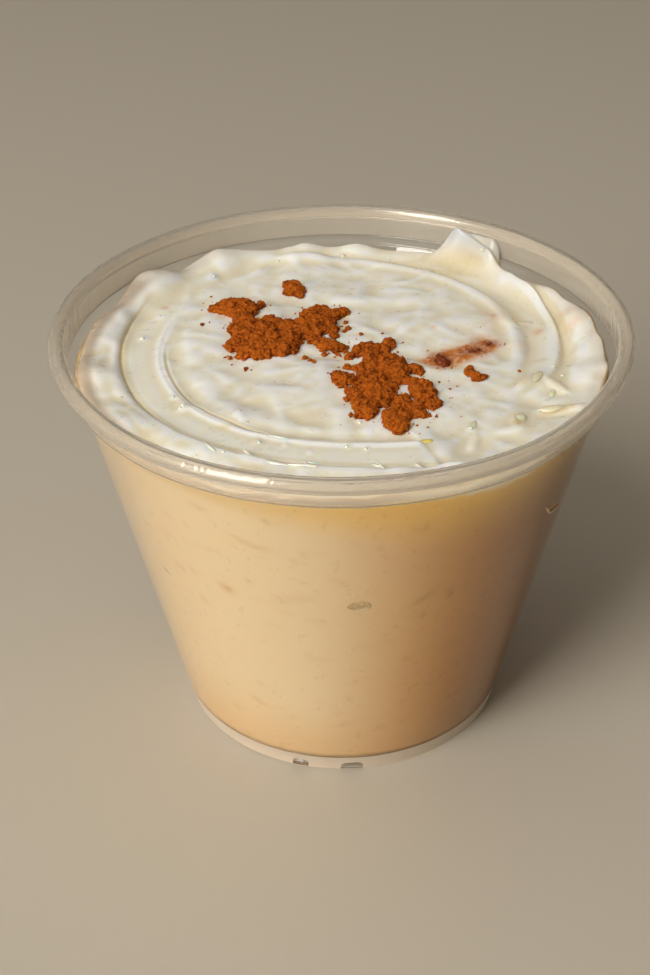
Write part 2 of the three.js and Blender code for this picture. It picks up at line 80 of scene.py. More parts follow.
PANEL_EDGE = 1.0
VENT_HEIGHT = 0.5
VENT_COUNT = 4
VENT_FIRST = -22  # middle of the first vent, degrees from the front
VENT_HALF = 18
VENT_SOFT = 1
CUP_SECTORS = 1440
CURL_STEPS = 17
SHOULDER_STEPS = 5
CUP_SHARP = 28  # edges of the cup that turn by more than this stay sharp, in degrees

# ---- The pudding's main form, as its solid has it ----
LEVEL = 63.2
RIM_REACH = 41.2
COLLAR_REACH = 42.8
BRIDGE_RISE = 0.6  # the side leaves the taper this far above the shoulder
BRIDGE_LENGTH = 2.0
# The spoon's ribbon. Two numbers say where a change begins and where it ends, four where a span fades in
# and out: directions round the cup, or distances from the ribbon's or the band's own edge.
TRACK_START = 152
TRACK_END = 294
TRACK_SPAN = (TRACK_START - 8, TRACK_START + 14, TRACK_END - 1, TRACK_END + 1)
TRACK_INNER = {"radius": 26.2, "tightest": 262, "before": (2.8, 87), "after": (2.2, 32)}
TRACK_OUTER = {"radius": 32.5, "tightest": 256, "before": (3.2, 81), "after": (2.1, 31)}
TRACK_HEIGHTS = (-0.3, 0.3)  # at the left and at the front
TRACK_CLIMBS = (215, 260)
TRACK_FACE = {"inner": (-0.5, 0.4), "outer": (-0.2, 1)}
TRACK_LIP = {"height": 0.3, "at": 0.5, "half": 0.7}
TROUGH = {"height": -0.35, "at": -1.9, "half": 1.7}
BANK_HEIGHTS = (0.3, 0.9)
BANK_CLIMBS = (205, 245)
BANK_FOOT = (-0.2, 1.3)
BANK_SPAN = (TRACK_START - 40, TRACK_START, TRACK_END, TRACK_END + 40)
TRACK_SOFT = 0.8  # how softly its calm surface ends
# the broad band at the back
BAND_MIDDLE = 50
BAND_HALF = 56
BAND_FADE = 12
BAND_INNER = {"radius": 28.6, "gain": 0.088}
BAND_OUTER = {"radius": 34.9, "gain": 0.13}
BAND_RIDGE = {"height": 0.45, "at": -0.6, "half": 1.3}
BAND_SINK = 0.45
BAND_SINKS = (0, 1.6)
BAND_CREST = 0.55
BAND_CLIMBS = (-5, -0.8)
BAND_BREAK = (-0.5, 0.5)
BAND_DROP = 0.85
BAND_RECOVERS = (0.8, 4)
BAND_INSET = 1  # how far inside its edge its calm surface begins
BAND_SOFT = 1.5
LUMP = {"size": 6.5, "stretch": 1.7, "turn": -28, "height": 0.4, "seed": 3}
SMALL_LUMP = {"size": 2.9, "height": 0.18, "seed": 11}
RIM_LUMP = {"size": 5.5, "height": 0.4, "seed": 7, "from": 34, "to": 37}
CALM = 0.9
DOME = 0.35
RIM_RISE = 1.0
RIM_FROM = 35
# direction, half width in degrees and rise
RIM_BUMPS = (
    (144, 9, 1.6), (130, 5, -0.7), (122, 7, 2), (99, 4, 0.7), (86, 5, 0.8), (76, 8, -0.5),
    (42, 6, 0.7), (31, 7, 1), (12, 11, 1.6), (356, 9, 0.5),
)
# middle, direction, half length, half width and rise
HUMPS = (
    (-15.3, -17.6, -25, 4.4, 2.8, 0.6), (-10, -13.2, -20, 4.2, 2.8, 0.4),
    (-24, 4.1, -30, 5.5, 2.2, 0.3), (-20.5, -6.8, -10, 4.5, 3, 0.3),
    (21.3, 12, -15, 4.5, 3, 0.35), (10.5, 12.9, 0, 3.4, 2.8, 0.35),
    (9, 19.2, -20, 6, 3, 0.3), (-36.8, -7.8, 100, 4.4, 3, 0.6),
    (-32.3, -20, 125, 4.8, 3.2, 0.6), (-37.4, 4.7, 90, 3.4, 2.4, 0.5),
    (-36, 13.6, 70, 3.6, 2.4, 0.4), (-30.2, 25.4, 45, 4.4, 2.6, 0.5),
    (-22.7, -29.6, 140, 4.2, 2.4, 0.4), (-12.3, -35.5, 165, 4.6, 2.2, 0.3),
    (33.8, 21.3, -52, 3.8, 1.8, 0.6), (37.6, 10.8, -60, 3.4, 2.6, 0.6),
    (39.2, 0.6, -80, 3.4, 2.4, 0.6), (36.6, -8.5, 70, 3.2, 2.4, 0.4),
)
SMEAR_LOW = {"at": 56.5, "half": 9.5}
SMEAR_TOP = {"at": 56, "half": 7.2}
SMEAR_FROM = 37.5
SMEAR_HEIGHT = 5.8
SMEAR_FADE = 3.0

# ---- The pudding's fine form ----
TOP_RINGS = 104
SECTORS = 540
SIDE_LEVELS = 78
RING_SAMPLES = 900
# the rings lie closer together along the ribbon's and the band's edges
CROWDING = 2.2  # how much closer
CROWD = {"at": 0, "half": 1.1}
CROWD_SPAN = (TRACK_START - 12, TRACK_START + 8, TRACK_END + 2, TRACK_END + 16)
CREASE_DEPTH = 0.2
WALL_REACH = 0.12  # how far the pudding reaches into the wall, so that no air gap shows
EDGE_ROUND = 0.35  # rounding of the top's edge
EDGE_WIDTH = 2.5 * EDGE_ROUND
HOLLOW_REACH = 1.45  # distance over which a hollow is measured
PAINTED_SHADE_FULL = (-0.02, 0.13)  # hollowness from where cream looks plain to where it gets full painted shade
PAINTED_LIGHT_FULL = (0.02, -0.06)  # and to where it gets full painted light
GRAIN_LENGTH = 6.0  # a cooked grain of rice
GRAIN_WIDTH = 2.0

# ---- Camera: fitted to the photograph ----
FRAME_WIDTH = 650
FRAME_HEIGHT = 975
FOCAL_PIXELS = 1600
CAMERA_PLACE = (0.0, -225.51, 186.70)
CAMERA_DOWN = 27.58  # degrees below the horizon before the three small turns
CAMERA_YAW = 0.6
CAMERA_PITCH = -5.74
CAMERA_ROLL = 0.32
SENSOR = 36.0
CAMERA_CLIP = (0.01, 20)  # metres
SIGHT_STEP = 0.02  # how finely a line of sight is followed down to the surface
LOWEST_SURFACE = LEVEL - 2.5  # and how far


# ---- Small mathematics ----
SCATTER = (127.1, 311.7, 74.7, 43758.5453)  # large uneven factors, so that near cells differ
SPACE_STEP = (57, 131)  # how far the next layer of cells is shifted, so that it has other numbers


def mix(first, second, share):
    return first + (second - first) * share


def bell(value):
    return np.exp(-value * value)


def step(low, high, value):
    """0 below low, 1 above high, smooth between."""
    share = np.clip((value - low) / (high - low), 0, 1)
    return share * share * (3 - 2 * share)


def span(ends, value):
    """0 up to the first of four ends, 1 from the second to the third, 0 past the last."""
    return step(*ends[:2], value) * (1 - step(*ends[2:], value))


def between(start, end, soft, value):
    """1 between start and end, fading in over soft at both ends."""
    return span((start - soft, start + soft, end - soft, end + soft), value)


def turn_from(angle, other):
    """Smallest signed difference between two directions."""
    return (angle - other + 540) % 360 - 180


def scatter(i, j, seed):
    """A number from 0 to 1 for each point of a whole-number grid."""
    per_i, per_j, per_seed, height = SCATTER
    wave = np.sin(i * per_i + j * per_j + seed * per_seed) * height
    return wave - np.floor(wave)


def scatter_in_space(cells, seed):
    """A number from 0 to 1 for each row of three whole numbers."""
    i, j, k = cells.T
    return scatter(i + SPACE_STEP[0] * k, j + SPACE_STEP[1] * k, seed)


def soft_noise(x, y, seed):
    """Smooth random relief from -1 to 1, with features about one unit apart."""
    i = np.floor(x)
    j = np.floor(y)
    u = step(0, 1, x - i)
    v = step(0, 1, y - j)
    near = mix(scatter(i, j, seed), scatter(i + 1, j, seed), u)
    far = mix(scatter(i, j + 1, seed), scatter(i + 1, j + 1, seed), u)
    return 2 * mix(near, far, v) - 1


def noise_in_space(points, size, seed):
    """Smooth random values from -1 to 1 in space, with features about size apart."""
    cell = np.floor(points / size)
    part = step(0, 1, points / size - cell)
    total = np.zeros(len(points))
    for corner in itertools.product((0, 1), repeat=3):
        share = np.prod(np.where(corner, part, 1 - part), axis=1)
        total += share * scatter_in_space(cell + corner, seed)
    return 2 * total - 1


def oval(x, y, at_x, at_y, turn, long, wide):
    """An oval bump of height 1, turned in plan. long and wide are half sizes."""
    turn = math.radians(turn)
    along = (x - at_x) * math.cos(turn) + (y - at_y) * math.sin(turn)
    across = (y - at_y) * math.cos(turn) - (x - at_x) * math.sin(turn)
    return bell(np.hypot(along / long, across / wide))


def ovals(x, y, forms):
    """Ovals added up: middle, direction, half sizes and height of each."""
    total = np.zeros_like(x)
    for *form, height in forms:
        total += height * oval(x, y, *form)
    return total


def change(place, reach, value):
    """0 to 1 between the two ends of a reach, which are measured from a place."""
    return step(place + reach[0], place + reach[1], value)


def ridge(place, form, value):
    """A soft ridge at an offset from a place, with a half width and, where it has one, a height."""
    return form.get("height", 1) * bell((value - place - form["at"]) / form["half"])


def polar(x, y):
    """Radius and direction of a place in plan."""
    return np.hypot(x, y), np.degrees(np.arctan2(y, x)) % 360


def directions(count):
    """So many directions round the middle, with the cosine and the sine of each."""
    angle = 360 * np.arange(count) / count
    return angle, np.cos(np.radians(angle)), np.sin(np.radians(angle))


# ---- Camera ----
def turn_about(axis, angle):
    return np.array(Matrix.Rotation(math.radians(angle), 3, axis))


def camera_axes():
    """Rows: the camera's right, up and forward directions."""
    down = math.radians(CAMERA_DOWN)
    forward = np.array([0, math.cos(down), -math.sin(down)])
    right = np.array([1.0, 0, 0])
    up = np.cross(right, forward)
    small_turns = turn_about("Z", CAMERA_ROLL) @ turn_about("X", CAMERA_PITCH) @ turn_about("Y", CAMERA_YAW)
    return small_turns @ np.stack([right, up, forward])


CAMERA_AXES = camera_axes()


def line_of_sight(px, py):
    """Direction in which the camera sees a pixel of the photograph."""
    aside = (px - FRAME_WIDTH / 2) / FOCAL_PIXELS
    above = (FRAME_HEIGHT / 2 - py) / FOCAL_PIXELS
    return np.array([aside, above, 1.0]) @ CAMERA_AXES


def at_pixel(px, py, height):
    """Where the line of sight through a pixel of the photograph meets a height, in plan."""
    sight = line_of_sight(px, py)
    along = (height - CAMERA_PLACE[2]) / sight[2]
    return CAMERA_PLACE[0] + along * sight[0], CAMERA_PLACE[1] + along * sight[1]


def make_camera():
    data = bpy.data.cameras.new("camera")
    data.sensor_width = SENSOR
    data.lens = SENSOR * FOCAL_PIXELS / FRAME_HEIGHT
    data.clip_start, data.clip_end = CAMERA_CLIP
    camera = bpy.data.objects.new("camera", data)
    right, up, forward = (Vector(axis) for axis in CAMERA_AXES)
    camera.matrix_world = Matrix.Translation(Vector(CAMERA_PLACE) * MM) @ Matrix(
        (right, up, -forward)).transposed().to_4x4()
    bpy.context.scene.collection.objects.link(camera)
    bpy.context.scene.camera = camera


# ---- Meshes ----
def set_points(mesh, points):
    """Moves a mesh's points to places in mm."""
    mesh.vertices.foreach_set("co", (np.asarray(points) * MM).astype(np.float32).ravel())


def mesh_from(name, points, *face_groups):
    """A mesh from points in mm and groups of faces, each group with as many corners a face."""
    corners = np.concatenate([group.ravel() for group in face_groups])
    sizes = np.concatenate([np.full(len(group), group.shape[1]) for group in face_groups])
    starts = np.concatenate([[0], np.cumsum(sizes)[:-1]])
    mesh = bpy.data.meshes.new(name)
    mesh.vertices.add(len(points))
    set_points(mesh, points)
    mesh.loops.add(len(corners))
    mesh.loops.foreach_set("vertex_index", corners.astype(np.int32))
    mesh.polygons.add(len(sizes))
    mesh.polygons.foreach_set("loop_start", starts.astype(np.int32))
    mesh.update(calc_edges=True)
    mesh.shade_smooth()
    return mesh


def add_piece(mesh, material, replaces=()):
    """Links a mesh as a piece of the object that rides on its body and has the mesh's name."""
    mesh.materials.clear()
    mesh.materials.append(material)
    piece = bpy.data.objects.new(mesh.name, mesh)
    bpy.context.scene.collection.objects.link(piece)
    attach(piece, BODY)
    if replaces:
        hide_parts(*replaces)


def add_values(mesh, name, values):
    """One number a vertex, which a material reads by name."""
    attribute = mesh.attributes.new(name, "FLOAT", "POINT")
    attribute.data.foreach_set("value", np.asarray(values, np.float32).ravel())


def closed_faces(rings, sectors):
    """Faces of a closed form: a first pole, rings of points, and a last pole."""
    k = np.arange(sectors)
    after = (k + 1) % sectors
    first = np.stack([np.zeros(sectors, int), 1 + k, 1 + after], axis=1)
    start = 1 + sectors * np.arange(rings - 1)[:, None]
    quads = np.stack([start + k, start + sectors + k, start + sectors + after, start + after], axis=2)
    end = 1 + sectors * (rings - 1)
    last = np.stack([np.full(sectors, end + sectors), end + after, end + k], axis=1)
    return np.concatenate([first, last]), quads.reshape(-1, 4)


def ball_template(subdivisions):
    """Points and faces of a round ball of radius 1."""
    built = bmesh.new()
    bmesh.ops.create_icosphere(built, subdivisions=subdivisions, radius=1)
    points = np.array([vertex.co[:] for vertex in built.verts])
    faces = np.array([[vertex.index for vertex in face.verts] for face in built.faces])
    built.free()
    return points, faces


def ball_mesh(name, subdivisions, places, half_sizes, turns, roughness, seed):
    """A mesh of rough balls, each with a place, three half sizes and a turn in plan."""
    points, faces = ball_template(subdivisions)
    count = len(places)
    random = np.random.default_rng(seed)
    swell = 1 + roughness * random.uniform(-1, 1, (count, len(points), 1))
    all_points = points[None] * swell * np.asarray(half_sizes)[:, None]
    c, s = np.cos(turns)[:, None], np.sin(turns)[:, None]
    x, y, z = np.moveaxis(all_points, 2, 0)
    all_points = np.stack([x * c - y * s, x * s + y * c, z], axis=2) + np.asarray(places)[:, None]
    all_faces = faces[None] + len(points) * np.arange(count)[:, None, None]
    return mesh_from(name, all_points.reshape(-1, 3), all_faces.reshape(-1, 3))


def remeshed(name, rough_mesh, voxel):
    """One closed skin over a mesh of joined balls."""
    rough = bpy.data.objects.new(rough_mesh.name, rough_mesh)
    bpy.context.scene.collection.objects.link(rough)
    modifier = rough.modifiers.new("skin", "REMESH")
    modifier.mode = "VOXEL"
    modifier.voxel_size = voxel * MM
    modifier.use_smooth_shade = True
    evaluated = rough.evaluated_get(bpy.context.evaluated_depsgraph_get())
    mesh = bpy.data.meshes.new_from_object(evaluated)
    mesh.name = name
    bpy.data.objects.remove(rough)
    return mesh


def mesh_points(mesh):
    """Points in mm and their normals."""
    points = np.zeros(3 * len(mesh.vertices), np.float32)
    normals = np.zeros(3 * len(mesh.vertices), np.float32)
    mesh.vertices.foreach_get("co", points)
    mesh.vertex_normals.foreach_get("vector", normals)
    return points.reshape(-1, 3).astype(float) / MM, normals.reshape(-1, 3).astype(float)


# ---- Materials ----
class Nodes:
    """A material's node tree. Most methods add nodes and give back the socket that carries their result."""

    def __init__(self, name):
        self.material = bpy.data.materials.new(name)
        self.material.use_nodes = True
        self.tree = self.material.node_tree
        self.tree.nodes.clear()

    def add(self, kind, values=None, **options):
        """A node with its inputs set: to a number, to a colour, or to another node's socket."""
        node = self.tree.nodes.new("ShaderNode" + kind)
        for option, value in options.items():
            setattr(node, option, value)
        for key, value in (values or {}).items():
            socket = node.inputs[key]
            if isinstance(value, bpy.types.NodeSocket):
                self.tree.links.new(value, socket)
            else:
                socket.default_value = (*value, 1) if socket.type == "RGBA" else value
        return node

    def finish(self, shader):
        """Gives the shader to the output and returns the material."""
        self.add("OutputMaterial", {"Surface": shader.outputs[0]})
        return self.material

    def principled(self, values):
        return self.finish(self.add("BsdfPrincipled", values))

    def noise(self, size, detail=2.0, roughness=0.5):
        """Noise from 0 to 1 in the part's own frame, with features about size mm apart."""
        place = self.add("TexCoord").outputs["Object"]
        node = self.add("TexNoise", {
            "Vector": place, "Scale": 1 / (size * MM), "Detail": detail, "Roughness": roughness})
        return node.outputs["Fac"]

    def remap(self, value, low, high, to_low=0.0, to_high=1.0):
        node = self.add("MapRange", {
            "Value": value, "From Min": low, "From Max": high, "To Min": to_low, "To Max": to_high})
        return node.outputs["Result"]

    def patches(self, size, low, high, to_low=0.0, to_high=1.0, **grain):
        """Noise that is spread from one value to another between its low and its high."""
        return self.remap(self.noise(size, **grain), low, high, to_low, to_high)

    def times(self, first, second):
        return self.add("Math", {0: first, 1: second}, operation="MULTIPLY").outputs[0]

    def blend(self, share, first, second):
        """A mix of two colours, each a tuple or a socket."""
        return self.add("Mix", {0: share, 6: first, 7: second}, data_type="RGBA").outputs[2]

    def read(self, name):
        """One of the mesh's values."""
        return self.add("Attribute", attribute_name=name).outputs["Fac"]

    def over(self, under, name, colour):
        """A colour laid over another as far as the mesh's value of that name says."""
        return self.blend(self.read(name), under, colour)

    def relief(self, size, depth, **grain):
        """Noise as relief of that depth in mm."""
        values = {"Height": self.noise(size, **grain), "Distance": depth * MM, "Strength": 1.0}
        return self.add("Bump", values).outputs["Normal"]


CREAM = (0.91, 0.885, 0.785)
# painted light on the top's raised places and painted shade in its hollows; the darker cream is also a plain
# random tone on the wet beads
CREAM_PAINTED_LIGHT = (0.98, 0.97, 0.905)
CREAM_DEEP_TONE_AND_PAINTED_SHADE = (0.85, 0.79, 0.63)
CREAM_SMEAR = (0.61, 0.645, 0.70)  # the thin smear up the wall
# the side's cream against the wall, made yellower and darker as painted warm bounce light
CREAM_AT_WALL_WITH_PAINTED_BOUNCE = (0.71, 0.575, 0.37)
# painted shade on the side turned away from the window
CREAM_SHADED = (0.66, 0.31, 0.03)
# painted shade in a band below the lip
CREAM_PAINTED_LIP_SHADE = (0.60, 0.385, 0.115)
CREAM_PAINTED_WARM_LIGHT = (0.92, 0.62, 0.13)  # painted warm light below the lip on the shaded side
CREAM_FREE_PAINTED_SHADE = (0.40, 0.315, 0.225)  # painted shade where it stands clear of the wall, below the lip
CREAM_FREE_PAINTED_LIGHT = (0.88, 0.82, 0.69)  # painted light in the same band right of the front, where it is thick
CREAM_PAINTED_EDGE_SHADE = (0.42, 0.325, 0.245)  # painted shade along the top's edge by the wall
# painted warm bounce light, browner towards the bottom of the side
CREAM_PAINTED_BOUNCE_AT_FOOT = (0.66, 0.42, 0.19)
# tint of clear grains, which on top also carries painted shade in hollows and along creases
GRAIN_AND_PAINTED_SHADE_TINT = (0.68, 0.555, 0.29)
SIDE_GRAIN_TINT = (0.50, 0.28, 0.08)
SOAKED = (0.66, 0.225, 0.033)
SOAKED_DARK = (0.26, 0.05, 0.009)
# painted shade inside an air bubble and a painted highlight at its lower edge
BUBBLE_PAINTED_SHADE = (0.44, 0.29, 0.13)
BUBBLE_PAINTED_HIGHLIGHT = (0.86, 0.74, 0.50)
GRAIN_CLEAR = (0.80, 0.70, 0.47)
GRAIN_PALE = (0.87, 0.82, 0.64)
GRAIN_YELLOW = (0.84, 0.68, 0.18)
FIBRE_LIGHT = (0.95, 0.86, 0.62)
FIBRE_DARK = (0.85, 0.72, 0.45)
CREAM_SCATTER = (1.0, 0.86, 0.6)  # how far each colour of light spreads, as a share of the scale
CREAM_SCATTER_SCALES = (0.55, 0.35)  # that scale on top, and where the cream lies against the wall


def pudding_material():
    nodes = Nodes("rice_pudding")
    # painted light on the top's raised places and painted shade in its hollows
    colour = nodes.over(CREAM, "painted_light_on_lumps", CREAM_PAINTED_LIGHT)
    colour = nodes.over(colour, "painted_shade_in_hollows", CREAM_DEEP_TONE_AND_PAINTED_SHADE)
    colour = nodes.over(colour, "smear", CREAM_SMEAR)
    # the side: painted warm bounce light, with painted shade away from the window
    side = nodes.over(CREAM_AT_WALL_WITH_PAINTED_BOUNCE, "shaded", CREAM_SHADED)
    colour = nodes.over(colour, "at_wall", nodes.over(side, "at_foot", CREAM_PAINTED_BOUNCE_AT_FOOT))
    colour = nodes.over(colour, "under_lip", nodes.over(CREAM_PAINTED_LIP_SHADE, "gold", CREAM_PAINTED_WARM_LIGHT))
    colour = nodes.over(colour, "free", nodes.over(CREAM_FREE_PAINTED_SHADE, "free_right", CREAM_FREE_PAINTED_LIGHT))
    colour = nodes.over(colour, "painted_edge_shade", CREAM_PAINTED_EDGE_SHADE)
    uneven = nodes.patches(size=0.8, low=0.25, high=0.6, to_low=0.6)
    tint = nodes.over(GRAIN_AND_PAINTED_SHADE_TINT, "at_wall", SIDE_GRAIN_TINT)
    # grains, and on top painted shade in hollows and along the creases
    colour = nodes.blend(nodes.times(nodes.read("grain"), uneven), colour, tint)
    broken = nodes.patches(size=1.1, low=0.33, high=0.66, to_low=0.5, to_high=1.25, detail=3.0, roughness=0.6)
    for name, soaked in (("stain", SOAKED), ("stain_core", SOAKED_DARK)):
        colour = nodes.blend(nodes.times(nodes.read(name), broken), colour, soaked)
    top_scale, side_scale = np.multiply(CREAM_SCATTER_SCALES, MM)
    return nodes.principled({
        "Base Color": colour,
        "Roughness": nodes.patches(size=1.6, low=0.3, high=0.7, to_low=0.26, to_high=0.42),
        "Subsurface Weight": 1.0,
        "Subsurface Radius": CREAM_SCATTER,
        "Subsurface Scale": nodes.remap(
            nodes.read("at_wall"), low=0.2, high=0.8, to_low=top_scale, to_high=side_scale),
        "Coat Weight": 0.3,
        "Coat Roughness": 0.12,
    })


CLEAR = (0.985, 0.98, 0.965)
CLEAR_TO_LAMPS = (0.95, 0.945, 0.93)
# the lip's haze, tinted tan as a painted reflection of warm surroundings
HAZE_AND_PAINTED_REFLECTION = (0.84, 0.79, 0.71)
FROSTED = (0.86, 0.73, 0.58)


def clear_material(name, colour, transmission, roughness):
    """Clear plastic that lets lamps through to what it holds."""
    nodes = Nodes(name)
    plastic = nodes.add("BsdfPrincipled", {
        "Base Color": colour,
        "Roughness": roughness,
        "IOR": 1.5,
        "Transmission Weight": transmission,
        "Normal": nodes.relief(size=2.5, depth=0.02),
    })
    open_to_light = nodes.add("BsdfTransparent", {"Color": CLEAR_TO_LAMPS})
    shadow = nodes.add("LightPath").outputs["Is Shadow Ray"]
    both = {0: shadow, 1: plastic.outputs[0], 2: open_to_light.outputs[0]}
    return nodes.finish(nodes.add("MixShader", both))


POWDER_LIGHT = (0.56, 0.150, 0.016)
POWDER_MID = (0.38, 0.078, 0.006)
# painted shade in the powder's crevices
POWDER_PAINTED_SHADE = (0.12, 0.019, 0.003)
WET_POWDER = (0.27, 0.055, 0.009)
WET_POWDER_DARK = (0.10, 0.018, 0.004)


def powder_material():
    nodes = Nodes("cinnamon_powder")
    pale = nodes.patches(size=0.5, low=0.35, high=0.68, detail=4.0, roughness=0.7)
    return nodes.principled({
        "Base Color": nodes.over(nodes.blend(pale, POWDER_MID, POWDER_LIGHT), "hollow", POWDER_PAINTED_SHADE),
        "Roughness": 0.95,
        "Specular IOR Level": 0.06,
        "Normal": nodes.relief(size=0.16, depth=0.07, detail=3.0, roughness=0.7),
    })


def wet_powder_material():
    nodes = Nodes("wet_cinnamon")
    dark = nodes.patches(size=0.5, low=0.3, high=0.7, detail=3.0)
    return nodes.principled({
        "Base Color": nodes.blend(dark, WET_POWDER, WET_POWDER_DARK),
        "Roughness": 0.38,
        "Specular IOR Level": 0.25,
        "Normal": nodes.relief(size=0.3, depth=0.06),
    })


def wet_bead_material():
    """Cream as wet as it gets, for the small beads that catch the window."""
    nodes = Nodes("wet_beads")
    return nodes.principled({
        "Base Color": nodes.blend(nodes.patches(size=0.8, low=0.35, high=0.65), CREAM, CREAM_DEEP_TONE_AND_PAINTED_SHADE),
        "Roughness": 0.12,
        "Subsurface Weight": 0.7,
        "Subsurface Scale": 0.5 * MM,
        "Coat Weight": 0.8,
        "Coat Roughness": 0.05,
    })


def rice_material():
    """A cooked grain that the cream does not cover: clear and olive, paler in patches."""
    nodes = Nodes("rice_grain")
    colour = nodes.blend(nodes.patches(size=0.9, low=0.35, high=0.7), GRAIN_CLEAR, GRAIN_PALE)
    return nodes.principled({
        "Base Color": nodes.over(colour, "yellow", GRAIN_YELLOW),
        "Roughness": 0.25,
        "Subsurface Weight": 0.8,
        "Subsurface Scale": 0.8 * MM,
        "Coat Weight": 0.15,
        "Coat Roughness": 0.1,
    })


def bubble_material():
    """Painted shade for the hollow look of an air bubble between the pudding and the wall, with a painted
    highlight at its lower edge.
    """
    nodes = Nodes("air_bubble")
    colour = nodes.over(BUBBLE_PAINTED_SHADE, "painted_highlight", BUBBLE_PAINTED_HIGHLIGHT)
    pale = nodes.patches(size=0.5, low=0.45, high=0.75, to_high=0.5)
    return nodes.principled({"Base Color": nodes.blend(pale, colour, BUBBLE_PAINTED_HIGHLIGHT), "Roughness": 0.3})


def fibre_material():
    nodes = Nodes("pale_fibre")
    colour = nodes.blend(nodes.patches(size=0.4, low=0.4, high=0.7), FIBRE_LIGHT, FIBRE_DARK)
    return nodes.principled({"Base Color": colour, "Roughness": 0.6})


def floor_material():
    return Nodes("floor").principled({"Base Color": FLOOR_COLOUR, "Roughness": 0.6})


# ---- The cup ----
def wall_radius(z):
    return BASE_RADIUS + WALL_SLOPE * z


def front_share(angle):
    return 1 - step(SAG_FULL, SAG_END, np.abs(turn_from(angle, FRONT)))


def sag_at(angle, z):
    """How much lower a point of the level cup stands in a direction, from nothing at the floor."""
    return LIP_SAG * front_share(angle) * np.clip((z - WALL_FOOT) / (SHOULDER_LOW - WALL_FOOT), 0, 1)


def level_height(angle, z):
    """The height in the level cup of what stands at z in the sagging one."""
    drop = LIP_SAG * front_share(angle)
    return z + drop * np.clip((z - WALL_FOOT) / (SHOULDER_LOW - WALL_FOOT - drop), 0, 1)


def inside_radius(z):
    low = wall_radius(np.minimum(z, SHOULDER_LOW)) - SHEET
    return mix(low, COLLAR_RADIUS - SHEET, step(SHOULDER_LOW, SHOULDER_HIGH, z))


def curl_points(radius, start, end):
    centre_r = RIM_RADIUS - CURL_RADIUS
    centre_z = CUP_HEIGHT - CURL_RADIUS
    angles = np.radians(np.linspace(start, end, CURL_STEPS + 1))
    return [(centre_r + radius * math.cos(a), centre_z + radius * math.sin(a)) for a in angles]


def cup_profile():
    """The sheet's section from the middle of the underside round the lip to the middle of the floor."""
    foot_outer = BASE_RADIUS - FOOT_EDGE
    foot_inner = foot_outer - FOOT_WIDTH
    under = FLOOR_TOP - FLOOR_SHEET
    shoulder = np.linspace(SHOULDER_LOW, SHOULDER_HIGH, SHOULDER_STEPS + 1)
    return [
        (PANEL_RADIUS - PANEL_EDGE, under + PANEL_RISE),
        (PANEL_RADIUS, under),
        (foot_inner - FOOT_EDGE - FOOT_CORNER, under),
        (foot_inner - FOOT_EDGE, under - FOOT_CORNER),
        (foot_inner, 0),
        (foot_outer, 0),
        (wall_radius(FOOT_EDGE), FOOT_EDGE),
        *((wall_radius(share * WINDOW_TOP), share * WINDOW_TOP) for share in WINDOW_ROWS),
        (wall_radius(FOOT_BAND), FOOT_BAND),
        *((inside_radius(z) + SHEET, z) for z in shoulder),
        *curl_points(CURL_RADIUS - SHEET, 180, CURL_END),
        *curl_points(CURL_RADIUS, CURL_END, 180),
        *((inside_radius(z), z) for z in shoulder[::-1]),
        (inside_radius(WALL_FOOT), WALL_FOOT),
        (inside_radius(FLOOR_TOP) - FLOOR_CORNER, FLOOR_TOP),
        (PANEL_RADIUS, FLOOR_TOP),
        (PANEL_RADIUS - PANEL_EDGE, FLOOR_TOP + PANEL_RISE),
    ]


# the lip's faults: slow waves and short ribs, and a thin ribbed line on its upper outside
LIP_WAVE = {"height": 0.05, "count": 40, "row": 0.3, "seed": 21}
LIP_RIBS = {"height": 0.045, "count": 560, "row": 0.9, "seed": 23}
LIP_DOTS = {"height": 0.7, "count": 560, "row": 0.4, "seed": 27}
LIP_GROOVE = {"height": 0.12, "at": 33, "half": 10}  # degrees round the curl
RIBS_EVERYWHERE = 0.35
RIBBED_SIDES = ((190, 24), (352, 22))  # where the lip's inner edge is most uneven: middle, half width
UNEVEN_LIP = (-2.2, -1.4)  # from here up, in radii of the curl from the cup's top
UNEVEN_INSIDE = (-1.5, -0.4)  # and inwards of here, in the same radii from the rim
# the frosted foot, with clear windows
FOOT_BAND = 3.3  # height of the frosted band round the foot
WINDOW_TOP = 1.9  # height of the clear windows in it
WINDOW_ROWS = (0.3, 0.5, 0.65, 0.78, 0.89, 0.96, 1.0)
FOOT_WINDOWS = ((255.2, 2.9), (273.2, 3.9))  # direction and half width
WINDOW_POWER = 4  # how square a window's corners are


def lip_noise(angle, fault, row=1, height=1):
    """Noise along the lip, other in each row of its points."""
    along = angle * fault["count"] / 360
    across = np.full_like(angle, fault["row"] * row)
    return height * fault["height"] * soft_noise(along, across, fault["seed"])


def lip_unevenness(angle, row):
    """How far the curled lip is out of true."""
    ribbed = sum(bell(turn_from(angle, middle) / half) for middle, half in RIBBED_SIDES)
    return lip_noise(angle, LIP_WAVE, row) + lip_noise(angle, LIP_RIBS, row, RIBS_EVERYWHERE + ribbed)


def lip_groove(angle, radius, z):
    """Depth of the thin ribbed line on the lip's upper outside."""
    up = math.degrees(math.atan2(z - CUP_HEIGHT + CURL_RADIUS, radius - RIM_RADIUS + CURL_RADIUS))
    return ridge(0, LIP_GROOVE, up) * (1 + lip_noise(angle, LIP_DOTS))


def in_vent(angle):
    """1 over each shallow gap under the foot ring."""
    from_front = turn_from(angle, FRONT)
    from_vent = turn_from(((from_front - VENT_FIRST) * VENT_COUNT) % 360, 0) / VENT_COUNT
    return 1 - step(VENT_HALF - VENT_SOFT, VENT_HALF + VENT_SOFT, np.abs(from_vent))


